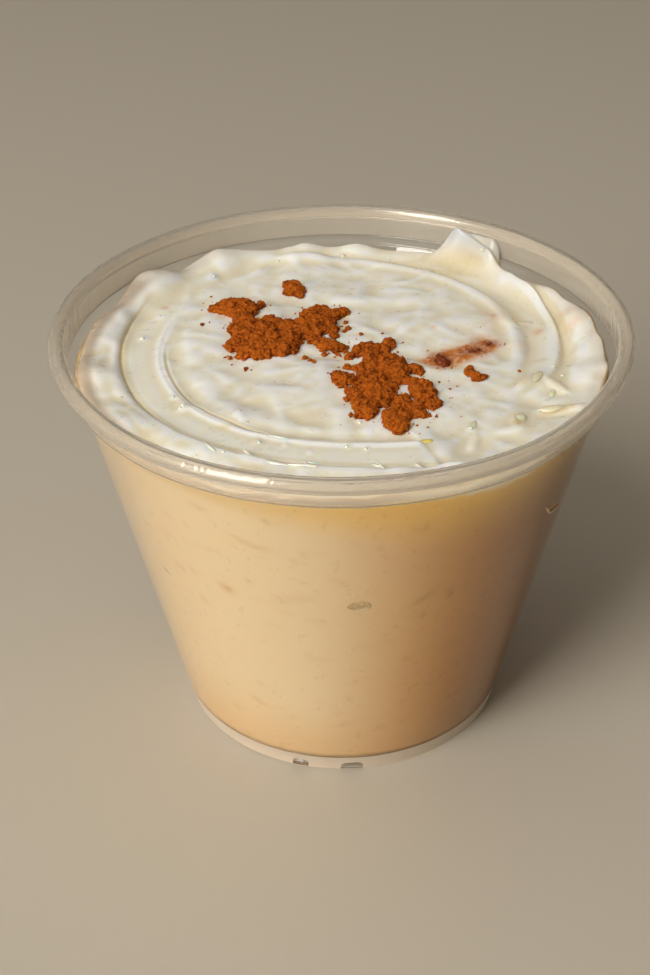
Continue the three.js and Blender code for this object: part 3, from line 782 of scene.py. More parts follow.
def make_cup(material, lip_material, foot_material):
    angle, c, s = directions(CUP_SECTORS)
    profile = cup_profile()
    rings = []
    for row, (radius, z) in enumerate(profile):
        near_lip = change(CUP_HEIGHT, np.multiply(UNEVEN_LIP, CURL_RADIUS), z)
        inner_side = 1 - change(RIM_RADIUS, np.multiply(UNEVEN_INSIDE, CURL_RADIUS), radius)
        uneven = near_lip * inner_side * lip_unevenness(angle, row)
        at = radius + uneven - near_lip * lip_groove(angle, radius, z)
        lifted = VENT_HEIGHT * in_vent(angle) if z < FOOT_EDGE / 2 else 0
        rings.append(np.stack([at * c, at * s, z + lifted - sag_at(angle, z)], axis=1))
    under_middle = [0, 0, FLOOR_TOP - FLOOR_SHEET + PANEL_RISE]
    floor_middle = [0, 0, FLOOR_TOP + PANEL_RISE]
    points = np.concatenate([[under_middle], *rings, [floor_middle]])
    fans, quads = closed_faces(len(profile), CUP_SECTORS)
    mesh = mesh_from("clear_cup", points, fans[:, ::-1], quads[:, ::-1])
    mesh.set_sharp_from_angle(angle=math.radians(CUP_SHARP))
    add_piece(mesh, material, ["cup"])
    mesh.materials.append(lip_material)
    mesh.materials.append(foot_material)
    x, y, z = np.array([polygon.center[:] for polygon in mesh.polygons]).T / MM
    radius, around = polar(x, y)
    in_lip = level_height(around, z) > SHOULDER_HIGH
    in_foot = (radius > BASE_RADIUS - FOOT_EDGE) & (z < FOOT_BAND)
    for at, half in FOOT_WINDOWS:
        in_foot &= (turn_from(around, at) / half) ** WINDOW_POWER + (z / WINDOW_TOP) ** WINDOW_POWER > 1
    mesh.polygons.foreach_set("material_index", (in_lip + 2 * in_foot).astype(np.int32))


# ---- The pudding's main form, from the same formulas as its solid ----
def edge_of(edge, angle):
    """Radius of the ribbon's inner or outer edge."""
    gain_before, over_before = edge["before"]
    gain_after, over_after = edge["after"]
    away = angle - edge["tightest"]
    before = gain_before * (away / over_before) ** 2
    after = gain_after * (away / over_after) ** 2
    return edge["radius"] + np.where(away < 0, before, after)


def band_edge(edge, angle):
    return edge["radius"] + edge["gain"] * turn_from(angle, 0)


def along_track(angle):
    """1 where the ribbon runs: it starts softly and ends squared off."""
    return span(TRACK_SPAN, angle)


def along_band(angle):
    return 1 - step(BAND_HALF - BAND_FADE, BAND_HALF + BAND_FADE, np.abs(turn_from(angle, BAND_MIDDLE)))


def track_relief(radius, angle):
    """The spoon's ribbon with its lip and the hollow inside it."""
    inner = edge_of(TRACK_INNER, angle)
    outer = edge_of(TRACK_OUTER, angle)
    face = change(inner, TRACK_FACE["inner"], radius) * (1 - change(outer, TRACK_FACE["outer"], radius))
    face_height = mix(*TRACK_HEIGHTS, step(*TRACK_CLIMBS, angle))
    lip = ridge(inner, TRACK_LIP, radius)
    return along_track(angle) * (lip + face_height * face + ridge(inner, TROUGH, radius))


def bank_relief(radius, angle):
    """The bank outside the ribbon."""
    height = mix(*BANK_HEIGHTS, step(*BANK_CLIMBS, angle))
    return span(BANK_SPAN, angle) * height * change(edge_of(TRACK_OUTER, angle), BANK_FOOT, radius)


def rim_relief(radius, angle):
    """The rise towards the wall."""
    bumps = sum(rise * bell(turn_from(angle, at) / half) for at, half, rise in RIM_BUMPS)
    return (RIM_RISE + bumps) * step(RIM_FROM, RIM_REACH, radius)


def band_relief(radius, angle):
    """The broad band at the back, lower than the middle, with a sharp outer edge."""
    inner = band_edge(BAND_INNER, angle)
    outer = band_edge(BAND_OUTER, angle)
    sink = BAND_SINK * change(inner, BAND_SINKS, radius)
    past = change(outer, BAND_BREAK, radius)
    crest = BAND_CREST * (change(outer, BAND_CLIMBS, radius) * (1 - past))
    drop = BAND_DROP * (past * (1 - change(outer, BAND_RECOVERS, radius)))
    return along_band(angle) * (ridge(inner, BAND_RIDGE, radius) - sink + crest - drop)


def in_track(radius, angle):
    edges = edge_of(TRACK_INNER, angle), edge_of(TRACK_OUTER, angle)
    return along_track(angle) * between(*edges, TRACK_SOFT, radius)


def in_band(radius, angle):
    edges = band_edge(BAND_INNER, angle) + BAND_INSET, band_edge(BAND_OUTER, angle)
    return along_band(angle) * between(*edges, BAND_SOFT, radius)


def lump_noise(x, y, form):
    return form["height"] * soft_noise(x / form["size"], y / form["size"], form["seed"])


def lump_relief(x, y, radius, angle):
    """Lumps of rice under the cream, which the spoon has mostly smoothed out in its tracks."""
    turn = math.radians(LUMP["turn"])
    along = (x * math.cos(turn) + y * math.sin(turn)) / (LUMP["stretch"] * LUMP["size"])
    across = (y * math.cos(turn) - x * math.sin(turn)) / LUMP["size"]
    soft = LUMP["height"] * soft_noise(along, across, LUMP["seed"])
    rim = lump_noise(x, y, RIM_LUMP) * step(RIM_LUMP["from"], RIM_LUMP["to"], radius)
    left = 1 - CALM * np.maximum(in_track(radius, angle), in_band(radius, angle))
    return left * (soft + lump_noise(x, y, SMALL_LUMP)) + rim


def smear_share(climb, angle):
    """How much of the smear's height is reached at a share of its climb."""
    at = mix(SMEAR_LOW["at"], SMEAR_TOP["at"], climb)
    half = mix(SMEAR_LOW["half"], SMEAR_TOP["half"], climb)
    away = np.abs(turn_from(angle, at))
    return climb * climb * (1 - step(half - SMEAR_FADE, half + SMEAR_FADE, away))


def surface_reach(angle):
    """Radius where the surface meets the wall or the collar."""
    return mix(RIM_REACH, COLLAR_REACH, smear_share(1, angle))


def smear_relief(radius, angle):
    climb = np.clip((radius - SMEAR_FROM) / (COLLAR_REACH - SMEAR_FROM), 0, 1)
    return SMEAR_HEIGHT * smear_share(climb, angle)


def main_surface(x, y):
    """Height of the surface without what is finer than the solid has."""
    radius, angle = polar(x, y)
    dome = DOME * (1 - (radius / RIM_REACH) ** 2)
    edge = np.maximum(rim_relief(radius, angle), bank_relief(radius, angle))
    return (LEVEL + dome + edge + track_relief(radius, angle) + band_relief(radius, angle)
            + lump_relief(x, y, radius, angle) + ovals(x, y, HUMPS) + smear_relief(radius, angle))


# ---- The pudding's fine form ----
# whole grains that show at the surface: place, direction, length, width, rise, how clear they are
WHOLE_GRAINS = (
    (32.9, -17.6, 3, 6.4, 2.1, 0.45, 0.9),
    (29.2, -8.2, 52, 6.4, 2.1, 0.55, 0.6),
    (33.2, -9.6, -62, 6.4, 2.1, 0.55, 0.5),
    (26.5, -20, 80, 5, 2.1, 0.35, 0.8),
    (19.5, -25.6, 74, 5, 1.6, 0.35, 0.4),
)
RICE_SPACING = 4.6
RICE_RISE = (0.03, 0.26)
RICE_SEED = 5
ROUGH = {"size": 1.3, "height": 0.03, "seed": 31}
SMOOTHED = {"track": 0.9, "band": 0.75}  # share of the fine relief that the spoon took away
CREASE_OUTER = {"at": 0, "half": 0.24}
CREASE_OUTER_FADES = (205, 235)
CREASE_OUTER_LEFT = 0.5  # share of its depth that is left at the front
CREASE_INNER = {"at": -0.55, "half": 0.24}
CREASE_INNER_STARTS = (168, 180)
GRAIN_SWELLS = (0.1, 0.9)  # from a whole grain's outline, at 0, to its middle, at 1
GRAIN_SHOWS = (0.25, 0.75)
BEAD_DEPTH = 1.2  # a bead's depth in plan as a share of its width

# beads and bits of grain on the ribbon and the banks: pixel, radius, rise
BEADS = (
    (173, 398, 0.45, 0.28), (183.5, 409, 0.75, 0.42), (178, 404, 0.5, 0.15), (258, 442, 0.6, 0.3),
    (286, 445, 0.4, 0.2), (348, 446, 0.5, 0.22), (367, 449, 0.45, 0.2), (310, 452.5, 0.4, 0.18),
    (360, 422, 0.5, 0.3), (471, 429, 0.45, 0.3), (238, 414, 0.9, 0.3), (243, 419, 0.7, 0.25),
    (161, 317, 0.6, 0.2), (214, 277, 0.8, 0.25), (143, 339, 0.7, 0.25), (132, 406, 0.7, 0.2),
    (338, 256, 0.7, 0.25), (539, 412, 0.6, 0.25), (419, 467, 0.6, 0.3), (402, 330, 1.2, 0.2),
)

# painted shade in hollows and on the shaded sides of humps, and patches where clear grains lie near the
# surface: pixel, half width, half depth, strength
TAN_PATCHES = (
    (178, 404, 1.2, 1.6, 0.5), (225, 427, 1.3, 0.7, 0.55), (258, 443, 0.9, 0.9, 0.6),
    (287, 445, 0.5, 0.5, 0.4), (231, 450, 1.6, 0.8, 0.5), (147, 434, 1.8, 1.4, 0.5),
    (180, 444, 1.6, 1, 0.4), (303, 413, 2.4, 1.7, 0.5), (258, 399, 2.4, 1.2, 0.4),
    (317, 425, 3, 1.4, 0.25), (134, 407, 2, 1, 0.3), (124, 350, 0.5, 4, 0.4),
    (450, 270, 6.5, 3.4, 0.6), (414, 262, 4.5, 1.8, 0.4), (500, 310, 4.5, 5, 0.3),
    (348, 447, 0.6, 0.5, 0.4), (540, 415, 3.2, 1.2, 0.25), (473, 426, 0.7, 2, 0.35),
    (515, 425, 4, 1.6, 0.2), (563, 378, 0.8, 2.4, 0.35), (560, 322, 4, 2.6, 0.25),
    (300, 467, 1.6, 0.8, 0.3), (246, 467, 2.2, 1, 0.35),
)

# where wet cinnamon has soaked in: pixel, half width, half depth, strength
STAINS = (
    (424, 362, 1.4, 1.1, 0.4), (432, 361, 1.7, 1.5, 0.7), (442, 360, 2.2, 2.4, 1),
    (452, 358, 2, 2.4, 0.9), (461, 355, 2.2, 2.2, 0.9), (471, 352, 2.2, 2, 1),
    (480, 349, 1.8, 1.9, 1), (488, 345, 1.9, 2, 1), (478, 338, 2.6, 3.6, 0.16),
    (494, 317, 2.4, 4.2, 0.15), (493, 317, 0.6, 0.8, 0.45), (538, 332, 0.9, 1.1, 0.55),
    (519, 346, 1.8, 2.2, 0.18), (517, 321, 1.2, 1.4, 0.2), (573, 323, 1.4, 1.4, 0.3),
    (567, 311, 1.2, 1, 0.25), (433, 327, 0.7, 0.7, 0.35), (304, 384, 0.7, 0.8, 0.14),
    (540, 361, 1.2, 0.6, 0.35), (165.3, 308, 0.7, 0.7, 0.5), (297.3, 385.4, 0.6, 0.6, 0.2),
)
STAIN_CORES = (
    (440.5, 359, 1.5, 1.6, 0.9), (445, 362, 1.2, 1.3, 0.8), (471, 351.5, 1.7, 1.1, 0.9),
    (478, 350, 1, 0.9, 0.7), (488.5, 344.5, 1.4, 1.1, 0.95), (462, 355.5, 0.8, 0.8, 0.5),
)


def seen_at(px, py, above=0.0):
    """Place in plan of something seen at a pixel, so high above the main surface."""
    heights = np.arange(CUP_HEIGHT, LOWEST_SURFACE, -SIGHT_STEP)
    x, y = at_pixel(px, py, heights)
    radius, angle = polar(x, y)
    met = (main_surface(x, y) + above >= heights) & (radius < surface_reach(angle))
    first = np.argmax(met)
    return x[first], y[first]


def spots(x, y, places):
    """A sum of soft spots placed by pixel on the surface."""
    return np.clip(ovals(x, y, ((*seen_at(px, py), 0, *form) for px, py, *form in places)), 0, 1)


def rice_relief(x, y):
    """Cooked grains just under the cream: low long bumps, each at its own random place and turn."""
    random = np.random.default_rng(RICE_SEED)
    total = np.zeros_like(x)
    reach = int(RIM_REACH / RICE_SPACING) + 1
    for i, j in itertools.product(range(-reach, reach + 1), repeat=2):
        at_x, at_y = RICE_SPACING * (np.array([i, j]) + random.uniform(-0.5, 0.5, 2))
        turn = random.uniform(0, 180)
        rise = mix(*RICE_RISE, random.uniform() ** 2)
        if math.hypot(at_x, at_y) < RIM_REACH:
            near = (abs(x - at_x) < GRAIN_LENGTH) & (abs(y - at_y) < GRAIN_LENGTH)
            total[near] += rise * oval(x[near], y[near], at_x, at_y, turn, GRAIN_LENGTH / 2, GRAIN_WIDTH / 2)
    return total


def whole_grains(x, y, which):
    """The whole grains' relief, or with "clear" how much of each shows its own tint."""
    total = np.zeros_like(x)
    for at_x, at_y, turn, length, width, rise, clear in WHOLE_GRAINS:
        form = oval(x, y, at_x, at_y, turn, length / 2, width / 2)
        total += clear * step(*GRAIN_SHOWS, form) if which == "clear" else rise * step(*GRAIN_SWELLS, form)
    return total


def crease_relief(radius, angle):
    """Thin grooves along the ribbon's edges, the outer one shallower at the front."""
    left = mix(1, CREASE_OUTER_LEFT, step(*CREASE_OUTER_FADES, angle))
    outer = ridge(edge_of(TRACK_OUTER, angle), CREASE_OUTER, radius) * left
    inner = ridge(edge_of(TRACK_INNER, angle), CREASE_INNER, radius) * step(*CREASE_INNER_STARTS, angle)
    return -CREASE_DEPTH * along_track(angle) * (outer + inner)


def fine_relief(x, y):
    """What the surface has beyond the solid's main form."""
    radius, angle = polar(x, y)
    smoothed = np.maximum(in_track(radius, angle), SMOOTHED["band"] * in_band(radius, angle))
    forms = ((*seen_at(px, py), 0, size, BEAD_DEPTH * size, rise) for px, py, size, rise in BEADS)
    beads = ovals(x, y, forms)
    return ((1 - SMOOTHED["track"] * smoothed) * (rice_relief(x, y) + lump_noise(x, y, ROUGH))
            + whole_grains(x, y, "rise") + beads + crease_relief(radius, angle))


def surface(x, y):
    return main_surface(x, y) + fine_relief(x, y)


def on_pudding(px, py, above=0.0):
    """The place in plan and the surface's height for something seen at a pixel, above the surface."""
    x, y = seen_at(px, py, above)
    return x, y, surface(np.array([x]), np.array([y]))[0]


# ---- Marks where the pudding meets the cup's wall ----
# clear grains and tan bits seen through the wall: pixel, length, width, tilt, strength
WALL_MARKS = (
    (200, 505, 3, 0.9, -15, 0.35), (149, 521, 2.4, 1, 5, 0.3), (268, 520, 0.9, 0.9, 0, 0.45),
    (240, 537, 3.4, 0.6, -30, 0.3), (254, 543.5, 3.4, 0.6, -20, 0.4), (268, 547, 3, 0.6, -5, 0.3),
    (304, 553, 1.3, 0.6, -20, 0.4), (295, 559, 1.5, 0.7, -10, 0.4), (182, 564, 2.4, 0.8, -15, 0.3),
    (195, 568, 1.4, 0.8, -20, 0.4), (250, 579, 1.1, 0.7, -25, 0.45), (229, 586.5, 2.3, 1.3, -15, 0.75),
    (206, 597, 1.6, 0.8, -45, 0.45), (290, 597, 6, 1.6, 20, 0.22), (340, 579.5, 3.4, 0.8, -20, 0.35),
    (147, 542, 2.6, 0.7, -60, 0.2), (380, 545.5, 1.3, 0.7, -20, 0.5), (375, 533, 0.9, 0.9, 0, 0.35),
    (421, 526.5, 2.6, 1.6, 10, 0.3), (414, 549, 0.5, 0.5, 0, 0.5), (471, 556.5, 1.2, 1.2, 0, 0.5),
    (488, 566, 2, 1.1, 30, 0.55), (514, 567, 1.4, 1, 20, 0.5), (423, 595.5, 4.8, 0.9, 32, 0.85),
    (481.5, 593, 1.6, 0.7, 45, 0.8), (422, 612.5, 1.5, 1, 20, 0.75), (413.5, 609, 0.5, 0.5, 0, 0.6),
    (371, 590, 1.4, 0.9, 20, 0.2), (509, 599, 5, 1.6, 50, 0.4), (405.5, 656.5, 1.9, 0.7, -10, 0.6),
    (428, 681, 1.2, 0.8, 30, 0.5), (455, 660, 1.3, 0.7, 20, 0.4), (349, 697, 1.3, 0.8, 0, 0.4),
    (262, 682, 1.6, 0.7, 10, 0.3), (229, 681, 1.1, 0.6, -15, 0.45), (260, 699, 2.6, 0.7, -30, 0.5),
    (198, 672, 1.3, 0.8, -30, 0.4), (239, 705, 2.2, 1, -10, 0.25), (345, 722.5, 3.2, 0.6, 5, 0.4),
    (382, 725, 1.2, 0.8, 0, 0.4), (308, 652, 1.2, 0.9, 0, 0.2), (441, 711, 3, 1, 20, 0.3),
    (452, 640, 3.6, 1, 30, 0.3), (388, 640, 3, 0.8, 10, 0.2), (318, 620, 3.4, 0.8, -10, 0.2),
    (449, 588.5, 1.6, 1, 28, 1),
)
RANDOM_MARKS = 420
MARK_SEED = 17

# air bubbles against the wall: pixel, length, width, tilt
BUBBLES = ((169.5, 569.5, 1.7, 1.0, -42), (359, 604, 3.7, 2.1, -3))
BUBBLE_DEPTH = 0.12
BUBBLE_FINE = 3  # subdivisions
# where a bubble's painted highlight lies, along this direction
BUBBLE_LIT_FROM = (-0.35, 0.8, 0)  # across, up and out
BUBBLE_LIT = (-0.35, -0.75)
# random marks, fewer of them plain to see where the photograph shows the real ones
MARK_HEIGHTS = (4, 62)
MARK_LENGTHS = (0.8, 4.5)
MARK_WIDTHS = (0.5, 1.0)
MARK_TILTS = (-40, 40)
MARK_LEAST = 0.1
MARK_MORE = 0.3
MARKS_HELD_BACK = 0.5
MARKS_IN_VIEW = (70, 90)  # degrees from the front
MARK_BLUR = 0.15


def at_wall_pixel(px, py):
    """Direction and height of the near wall's inside where the line of sight through a pixel meets it."""
    sight = line_of_sight(px, py)
    eye = np.array(CAMERA_PLACE)
    at_eye = BASE_RADIUS - SHEET + WALL_SLOPE * eye[2]
    grows = WALL_SLOPE * sight[2]
    a = sight[0] ** 2 + sight[1] ** 2 - grows ** 2
    b = eye[0] * sight[0] + eye[1] * sight[1] - at_eye * grows
    c = eye[0] ** 2 + eye[1] ** 2 - at_eye ** 2
    place = eye + sight * (-b - math.sqrt(b * b - a * c)) / a
    return math.degrees(math.atan2(place[1], place[0])) % 360, place[2]


def wall_marks(angle, z):
    """How much of a clear grain or tan bit shows at each point of the pudding's side."""
    random = np.random.default_rng(MARK_SEED)
    marks = [(*at_wall_pixel(px, py), *form) for px, py, *form in WALL_MARKS]
    for _ in range(RANDOM_MARKS):
        place = (random.uniform(0, 360), random.uniform(*MARK_HEIGHTS))
        form = (random.uniform(*MARK_LENGTHS), random.uniform(*MARK_WIDTHS), random.uniform(*MARK_TILTS))
        in_view = 1 - step(*MARKS_IN_VIEW, abs(turn_from(place[0], FRONT)))
        strength = MARK_LEAST + MARK_MORE * random.uniform() ** 2
        marks.append((*place, *form, (1 - MARKS_HELD_BACK * in_view) * strength))
    total = np.zeros_like(z)
    for at_angle, at_z, length, width, tilt, strength in marks:
        along = np.radians(turn_from(angle, at_angle)) * wall_radius(at_z)
        near = (abs(along) < 2 * length + 1) & (abs(z - at_z) < 2 * length + 1)
        half_sizes = (length / 2, width / 2 + MARK_BLUR)
        total[near] += strength * oval(along[near], z[near], 0, at_z, tilt, *half_sizes)
    return np.clip(total, 0, 1)


# ---- The pudding ----
def side_radius(angle, z, bridge_from):
    """Radius of the pudding's side, just into the wall; it bridges the corner below the collar."""
    low = wall_radius(np.minimum(level_height(angle, z), SHOULDER_LOW)) - SHEET
    in_collar = np.clip((bridge_from - SHOULDER_LOW - BRIDGE_RISE) / BRIDGE_LENGTH, 0, 1)
    return mix(low, COLLAR_RADIUS - SHEET, in_collar) + WALL_REACH


def hollowness(x, y):
    """How much lower the top is at each place than some way off on four sides."""
    aside = surface(x - HOLLOW_REACH, y) + surface(x + HOLLOW_REACH, y)
    before = surface(x, y - HOLLOW_REACH) + surface(x, y + HOLLOW_REACH)
    return (aside + before) / 4 - surface(x, y)


def top_ring_radii(angle, rim_radius):
    """Radius of each ring of the top in each direction."""
    fine = np.linspace(0, 1, RING_SAMPLES)[:, None] * rim_radius
    track = span(CROWD_SPAN, angle)
    crowd = track * ridge(edge_of(TRACK_INNER, angle), CROWD, fine)
    crowd += track * ridge(edge_of(TRACK_OUTER, angle), CROWD, fine)
    crowd += along_band(angle) * ridge(band_edge(BAND_OUTER, angle), CROWD, fine)
    reached = np.cumsum(1 + CROWDING * crowd, axis=0)
    reached = (reached - reached[0]) / (reached[-1] - reached[0])
    share = np.arange(1, TOP_RINGS) / TOP_RINGS
    columns = [np.interp(share, reached[:, k], fine[:, k]) for k in range(SECTORS)]
    return np.stack(columns, axis=1)


def pudding_rings():
    """Rings of points over the top, down the side just inside the wall, and over the floor."""
    angle, c, s = directions(SECTORS)
    reach = surface_reach(angle)
    main_rim = main_surface(reach * c, reach * s)
    rim_height = surface(reach * c, reach * s) - EDGE_ROUND
    rim_radius = side_radius(angle, rim_height, main_rim)
    top_radius = top_ring_radii(angle, rim_radius)
    top_height = surface(top_radius * c, top_radius * s)
    top_height -= EDGE_ROUND * step(rim_radius - EDGE_WIDTH, rim_radius, top_radius)
    level = (np.arange(SIDE_LEVELS + 1) / SIDE_LEVELS)[:, None]
    side_height = mix(rim_height, WALL_FOOT, level)
    bridge_from = np.minimum(main_rim, side_height + EDGE_ROUND)
    out = side_radius(angle, side_height, bridge_from)
    floor = np.array([
        (inside_radius(FLOOR_TOP) - FLOOR_CORNER, FLOOR_TOP - WALL_REACH),
        (PANEL_RADIUS, FLOOR_TOP - WALL_REACH),
        (PANEL_RADIUS - PANEL_EDGE, FLOOR_TOP + PANEL_RISE - WALL_REACH),
    ])
    radius = np.concatenate([top_radius, out, floor[:, :1] + 0 * c])
    height = np.concatenate([top_height, side_height, floor[:, 1:] + 0 * c])
    return radius * c, radius * s, height, top_height.size


# Where the pudding's tints, painted shade and painted light lie. Two numbers say where a tint begins and
# where it is full, or has faded.
OUTER_TINT = {"at": 0, "half": 0.25, "strength": 0.75}
INNER_TINT = {"at": -0.6, "half": 0.22, "strength": 0.6}
INNER_TINT_STARTS = (172, 182)
INNER_TINT_FADES = (232, 250)
INNER_TINT_LEFT = 0.6
BAND_TINT = {"at": 0.8, "half": 0.9, "strength": 0.3}
SMEAR_SHOWS = (0.15, 0.6)  # share of the smear's height
EDGE_SHADE_REACH = (-2.4, -0.6)  # from the radius where the surface meets the wall
EDGE_SHADE_ENDS = (65.5, 67)  # height
EDGE_SHADE_SIDE = 190  # direction in which the painted edge shade shows most
EDGE_SHADE_FADES = (40, 75)  # degrees from it
EDGE_SHADE_LEAST = 0.25
EDGE_SHADE_MORE = 0.6
CLEAR_SIDE = 304  # direction in which the pudding stands clear of the wall furthest down
CLEAR_HALF = 11
CLEAR_DEPTH = 1.35
CLEAR_SOFT = (-0.2, 0.3)
CLEAR_RIGHT_SPAN = (272, 294, 338, 352)
WINDOW_SIDE = 257  # direction of the window, from which the painted shade on the side grows
SHADED_RIGHT = (1, 57)  # degrees from it
SHADED_LEFT = (8, 58)
SHADED_LEFT_MOST = 0.12
SHADED_BACK = (90, 130)
SHADED_BACK_MOST = 0.6
# painted warm bounce light on the side near its foot
FOOT_TINT_MOST = 0.6
FOOT_TINT_ENDS = (2, 20)  # height
# where the painted warm light below the lip lies
GOLD_SPAN = (225, 315, 350, 360)
GOLD_REST = 0.4  # what is left of it past its end
GOLD_REST_ENDS = (0, 60)
UNDER_LIP_DEPTH = (2.2, 15)  # on the plain side and on the gold side
UNDER_LIP_MOST = (0.45, 0.95)


def crease_tints(radius, angle):
    """The thin shadows along the ribbon's edges and the band's outer edge."""
    outer = ridge(edge_of(TRACK_OUTER, angle), OUTER_TINT, radius) * along_track(angle)
    outer = outer * (1 - step(*CREASE_OUTER_FADES, angle))
    inner = ridge(edge_of(TRACK_INNER, angle), INNER_TINT, radius) * along_track(angle)
    inner = inner * step(*INNER_TINT_STARTS, angle) * mix(1, INNER_TINT_LEFT, step(*INNER_TINT_FADES, angle))
    band = ridge(band_edge(BAND_OUTER, angle), BAND_TINT, radius) * along_band(angle)
    return OUTER_TINT["strength"] * outer, INNER_TINT["strength"] * inner, BAND_TINT["strength"] * band


def top_values(x, y, z):
    """What the pudding's material reads at its top."""
    radius, angle = polar(x, y)
    hollow = hollowness(x, y)
    # clear grains, with painted shade in hollows and along the creases
    grains_and_shade = [spots(x, y, TAN_PATCHES), whole_grains(x, y, "clear"), *crease_tints(radius, angle)]
    # painted shade along the top's edge by the wall, most on the left
    painted_edge_shade = change(RIM_REACH, EDGE_SHADE_REACH, radius) * (1 - step(*EDGE_SHADE_ENDS, z))
    edge_shade_side = 1 - step(*EDGE_SHADE_FADES, np.abs(turn_from(angle, EDGE_SHADE_SIDE)))
    return {
        # painted shade in hollows and painted light on raised places
        "painted_shade_in_hollows": step(*PAINTED_SHADE_FULL, hollow),
        "painted_light_on_lumps": step(*PAINTED_LIGHT_FULL, hollow),
        "grain": np.clip(sum(grains_and_shade), 0, 1),
        "stain": spots(x, y, STAINS),
        "stain_core": spots(x, y, STAIN_CORES),
        "smear": step(*SMEAR_SHOWS, smear_relief(radius, angle) / SMEAR_HEIGHT),
        "painted_edge_shade": (EDGE_SHADE_LEAST + EDGE_SHADE_MORE * edge_shade_side) * painted_edge_shade,
    }


def gold_share(angle):
    return span(GOLD_SPAN, angle) + GOLD_REST * (1 - step(*GOLD_REST_ENDS, angle))


def side_values(x, y, z):
    """What it reads where the pudding lies against the wall."""
    angle = polar(x, y)[1]
    level = level_height(angle, z)
    contact = SHOULDER_LOW - CLEAR_DEPTH * bell(turn_from(angle, CLEAR_SIDE) / CLEAR_HALF)
    gold = gold_share(angle)
    # painted shade below the lip, reaching deeper where it turns to painted warm light on the right
    under_lip = step(SHOULDER_LOW - mix(*UNDER_LIP_DEPTH, gold), SHOULDER_LOW, level)
    return {
        "at_wall": 1,
        "grain": wall_marks(angle, z),
        # painted shade where the pudding stands clear of the wall, painted light in its right part
        "free": change(contact, CLEAR_SOFT, level),
        "under_lip": mix(*UNDER_LIP_MOST, gold) * under_lip,
    }


def body_values(x, y, z):
    """What it reads everywhere."""
    angle = polar(x, y)[1]
    # painted shade, growing with the turn away from the window, to the right and at the back
    from_window = turn_from(angle, WINDOW_SIDE)
    left = SHADED_LEFT_MOST * step(*SHADED_LEFT, -from_window)
    front = np.where(from_window > 0, step(*SHADED_RIGHT, from_window), left)
    return {
        "shaded": np.maximum(front, step(*SHADED_BACK, np.abs(from_window)) * SHADED_BACK_MOST),
        "at_foot": FOOT_TINT_MOST * (1 - step(*FOOT_TINT_ENDS, z)),
        "gold": gold_share(angle),
        "free_right": span(CLEAR_RIGHT_SPAN, angle),
    }


def make_pudding(material):
    x, y, z, top_count = pudding_rings()
    first = [0, 0, surface(np.zeros(1), np.zeros(1))[0]]
    last = [0, 0, FLOOR_TOP + PANEL_RISE - WALL_REACH]
    points = np.concatenate([[first], np.stack([x, y, z], axis=2).reshape(-1, 3), [last]])
    mesh = mesh_from("pudding_body", points, *closed_faces(len(x), SECTORS))
    number = np.arange(len(points))
    values = {}
    parts = (number <= top_count, top_values), (number > top_count, side_values), (number >= 0, body_values)
    for where, part_values in parts:
        for name, part in part_values(*points[where].T).items():
            values.setdefault(name, np.zeros(len(points)))[where] = part
    for name, whole in values.items():
        add_values(mesh, name, whole)
    add_piece(mesh, material, ["pudding"])


# small wet beads and points of grain that catch the window: pixel and radius
GLINTS = (
    (173.3, 397.8, 0.3), (183.5, 406, 0.42), (180.5, 409, 0.3), (277.5, 435.5, 0.26), (287, 438, 0.26),
    (223.3, 451.4, 0.32), (306, 464.2, 0.38), (360, 423, 0.32), (471, 428.8, 0.3), (539, 411.2, 0.32),
    (553.4, 365.3, 0.34), (563, 374.9, 0.38), (214, 276.6, 0.4), (159.6, 316.2, 0.3), (142.4, 339, 0.4),
    (239.5, 411.5, 0.3), (247, 422, 0.26), (278.2, 260.7, 0.3), (343, 255, 0.5),
    (482.6, 248.3, 0.5), (259, 442.8, 0.34), (196, 455, 0.24),
    (152, 425, 0.24), (121, 397, 0.26), (99, 372, 0.24), (346.8, 446.6, 0.3), (366, 449, 0.26),
)
# wet ridges that catch it along their length: pixels of both ends and half width
STREAKS = (
    (204.5, 442, 214, 450, 0.34), (268, 434.5, 288, 438, 0.3),
    (244.5, 453.5, 254.5, 459, 0.3), (265.5, 461, 290, 465, 0.36), (290, 465, 316, 466.5, 0.32),
    (372, 463.5, 380, 466, 0.3), (380, 466, 388, 472, 0.32), (416.5, 465.5, 423.5, 468.5, 0.34),
    (545.5, 401, 553.5, 396, 0.3), (301, 461, 320, 463, 0.22),
)
BALL_FINE = 4  # subdivisions of beads and grains
BEAD_SUNK = 0.35  # how far a bead's middle lies below the surface, as a share of its height
BEAD_FLATNESS = 0.75
BEAD_RISE = 0.3  # height at which it is seen, as a share of its radius


def make_glints(material):
    """Small wet beads, each between two ends that are one for a round one."""
    places, sizes, turns = [], [], []
    ends = [(px, py, px, py, radius) for px, py, radius in GLINTS] + list(STREAKS)
    for px, py, other_px, other_py, radius in ends:
        first = np.array(seen_at(px, py, BEAD_RISE * radius))
        other = np.array(seen_at(other_px, other_py, BEAD_RISE * radius))
        middle = (first + other) / 2
        base = surface(middle[:1], middle[1:])[0]
        away = other - first
        places.append((*middle, base - BEAD_SUNK * BEAD_FLATNESS * radius))
        sizes.append((radius + np.hypot(*away) / 2, radius, BEAD_FLATNESS * radius))
        turns.append(math.atan2(away[1], away[0]))
    mesh = ball_mesh("wet_beads", BALL_FINE, places, sizes, turns, roughness=0.0, seed=73)
    add_piece(mesh, material)


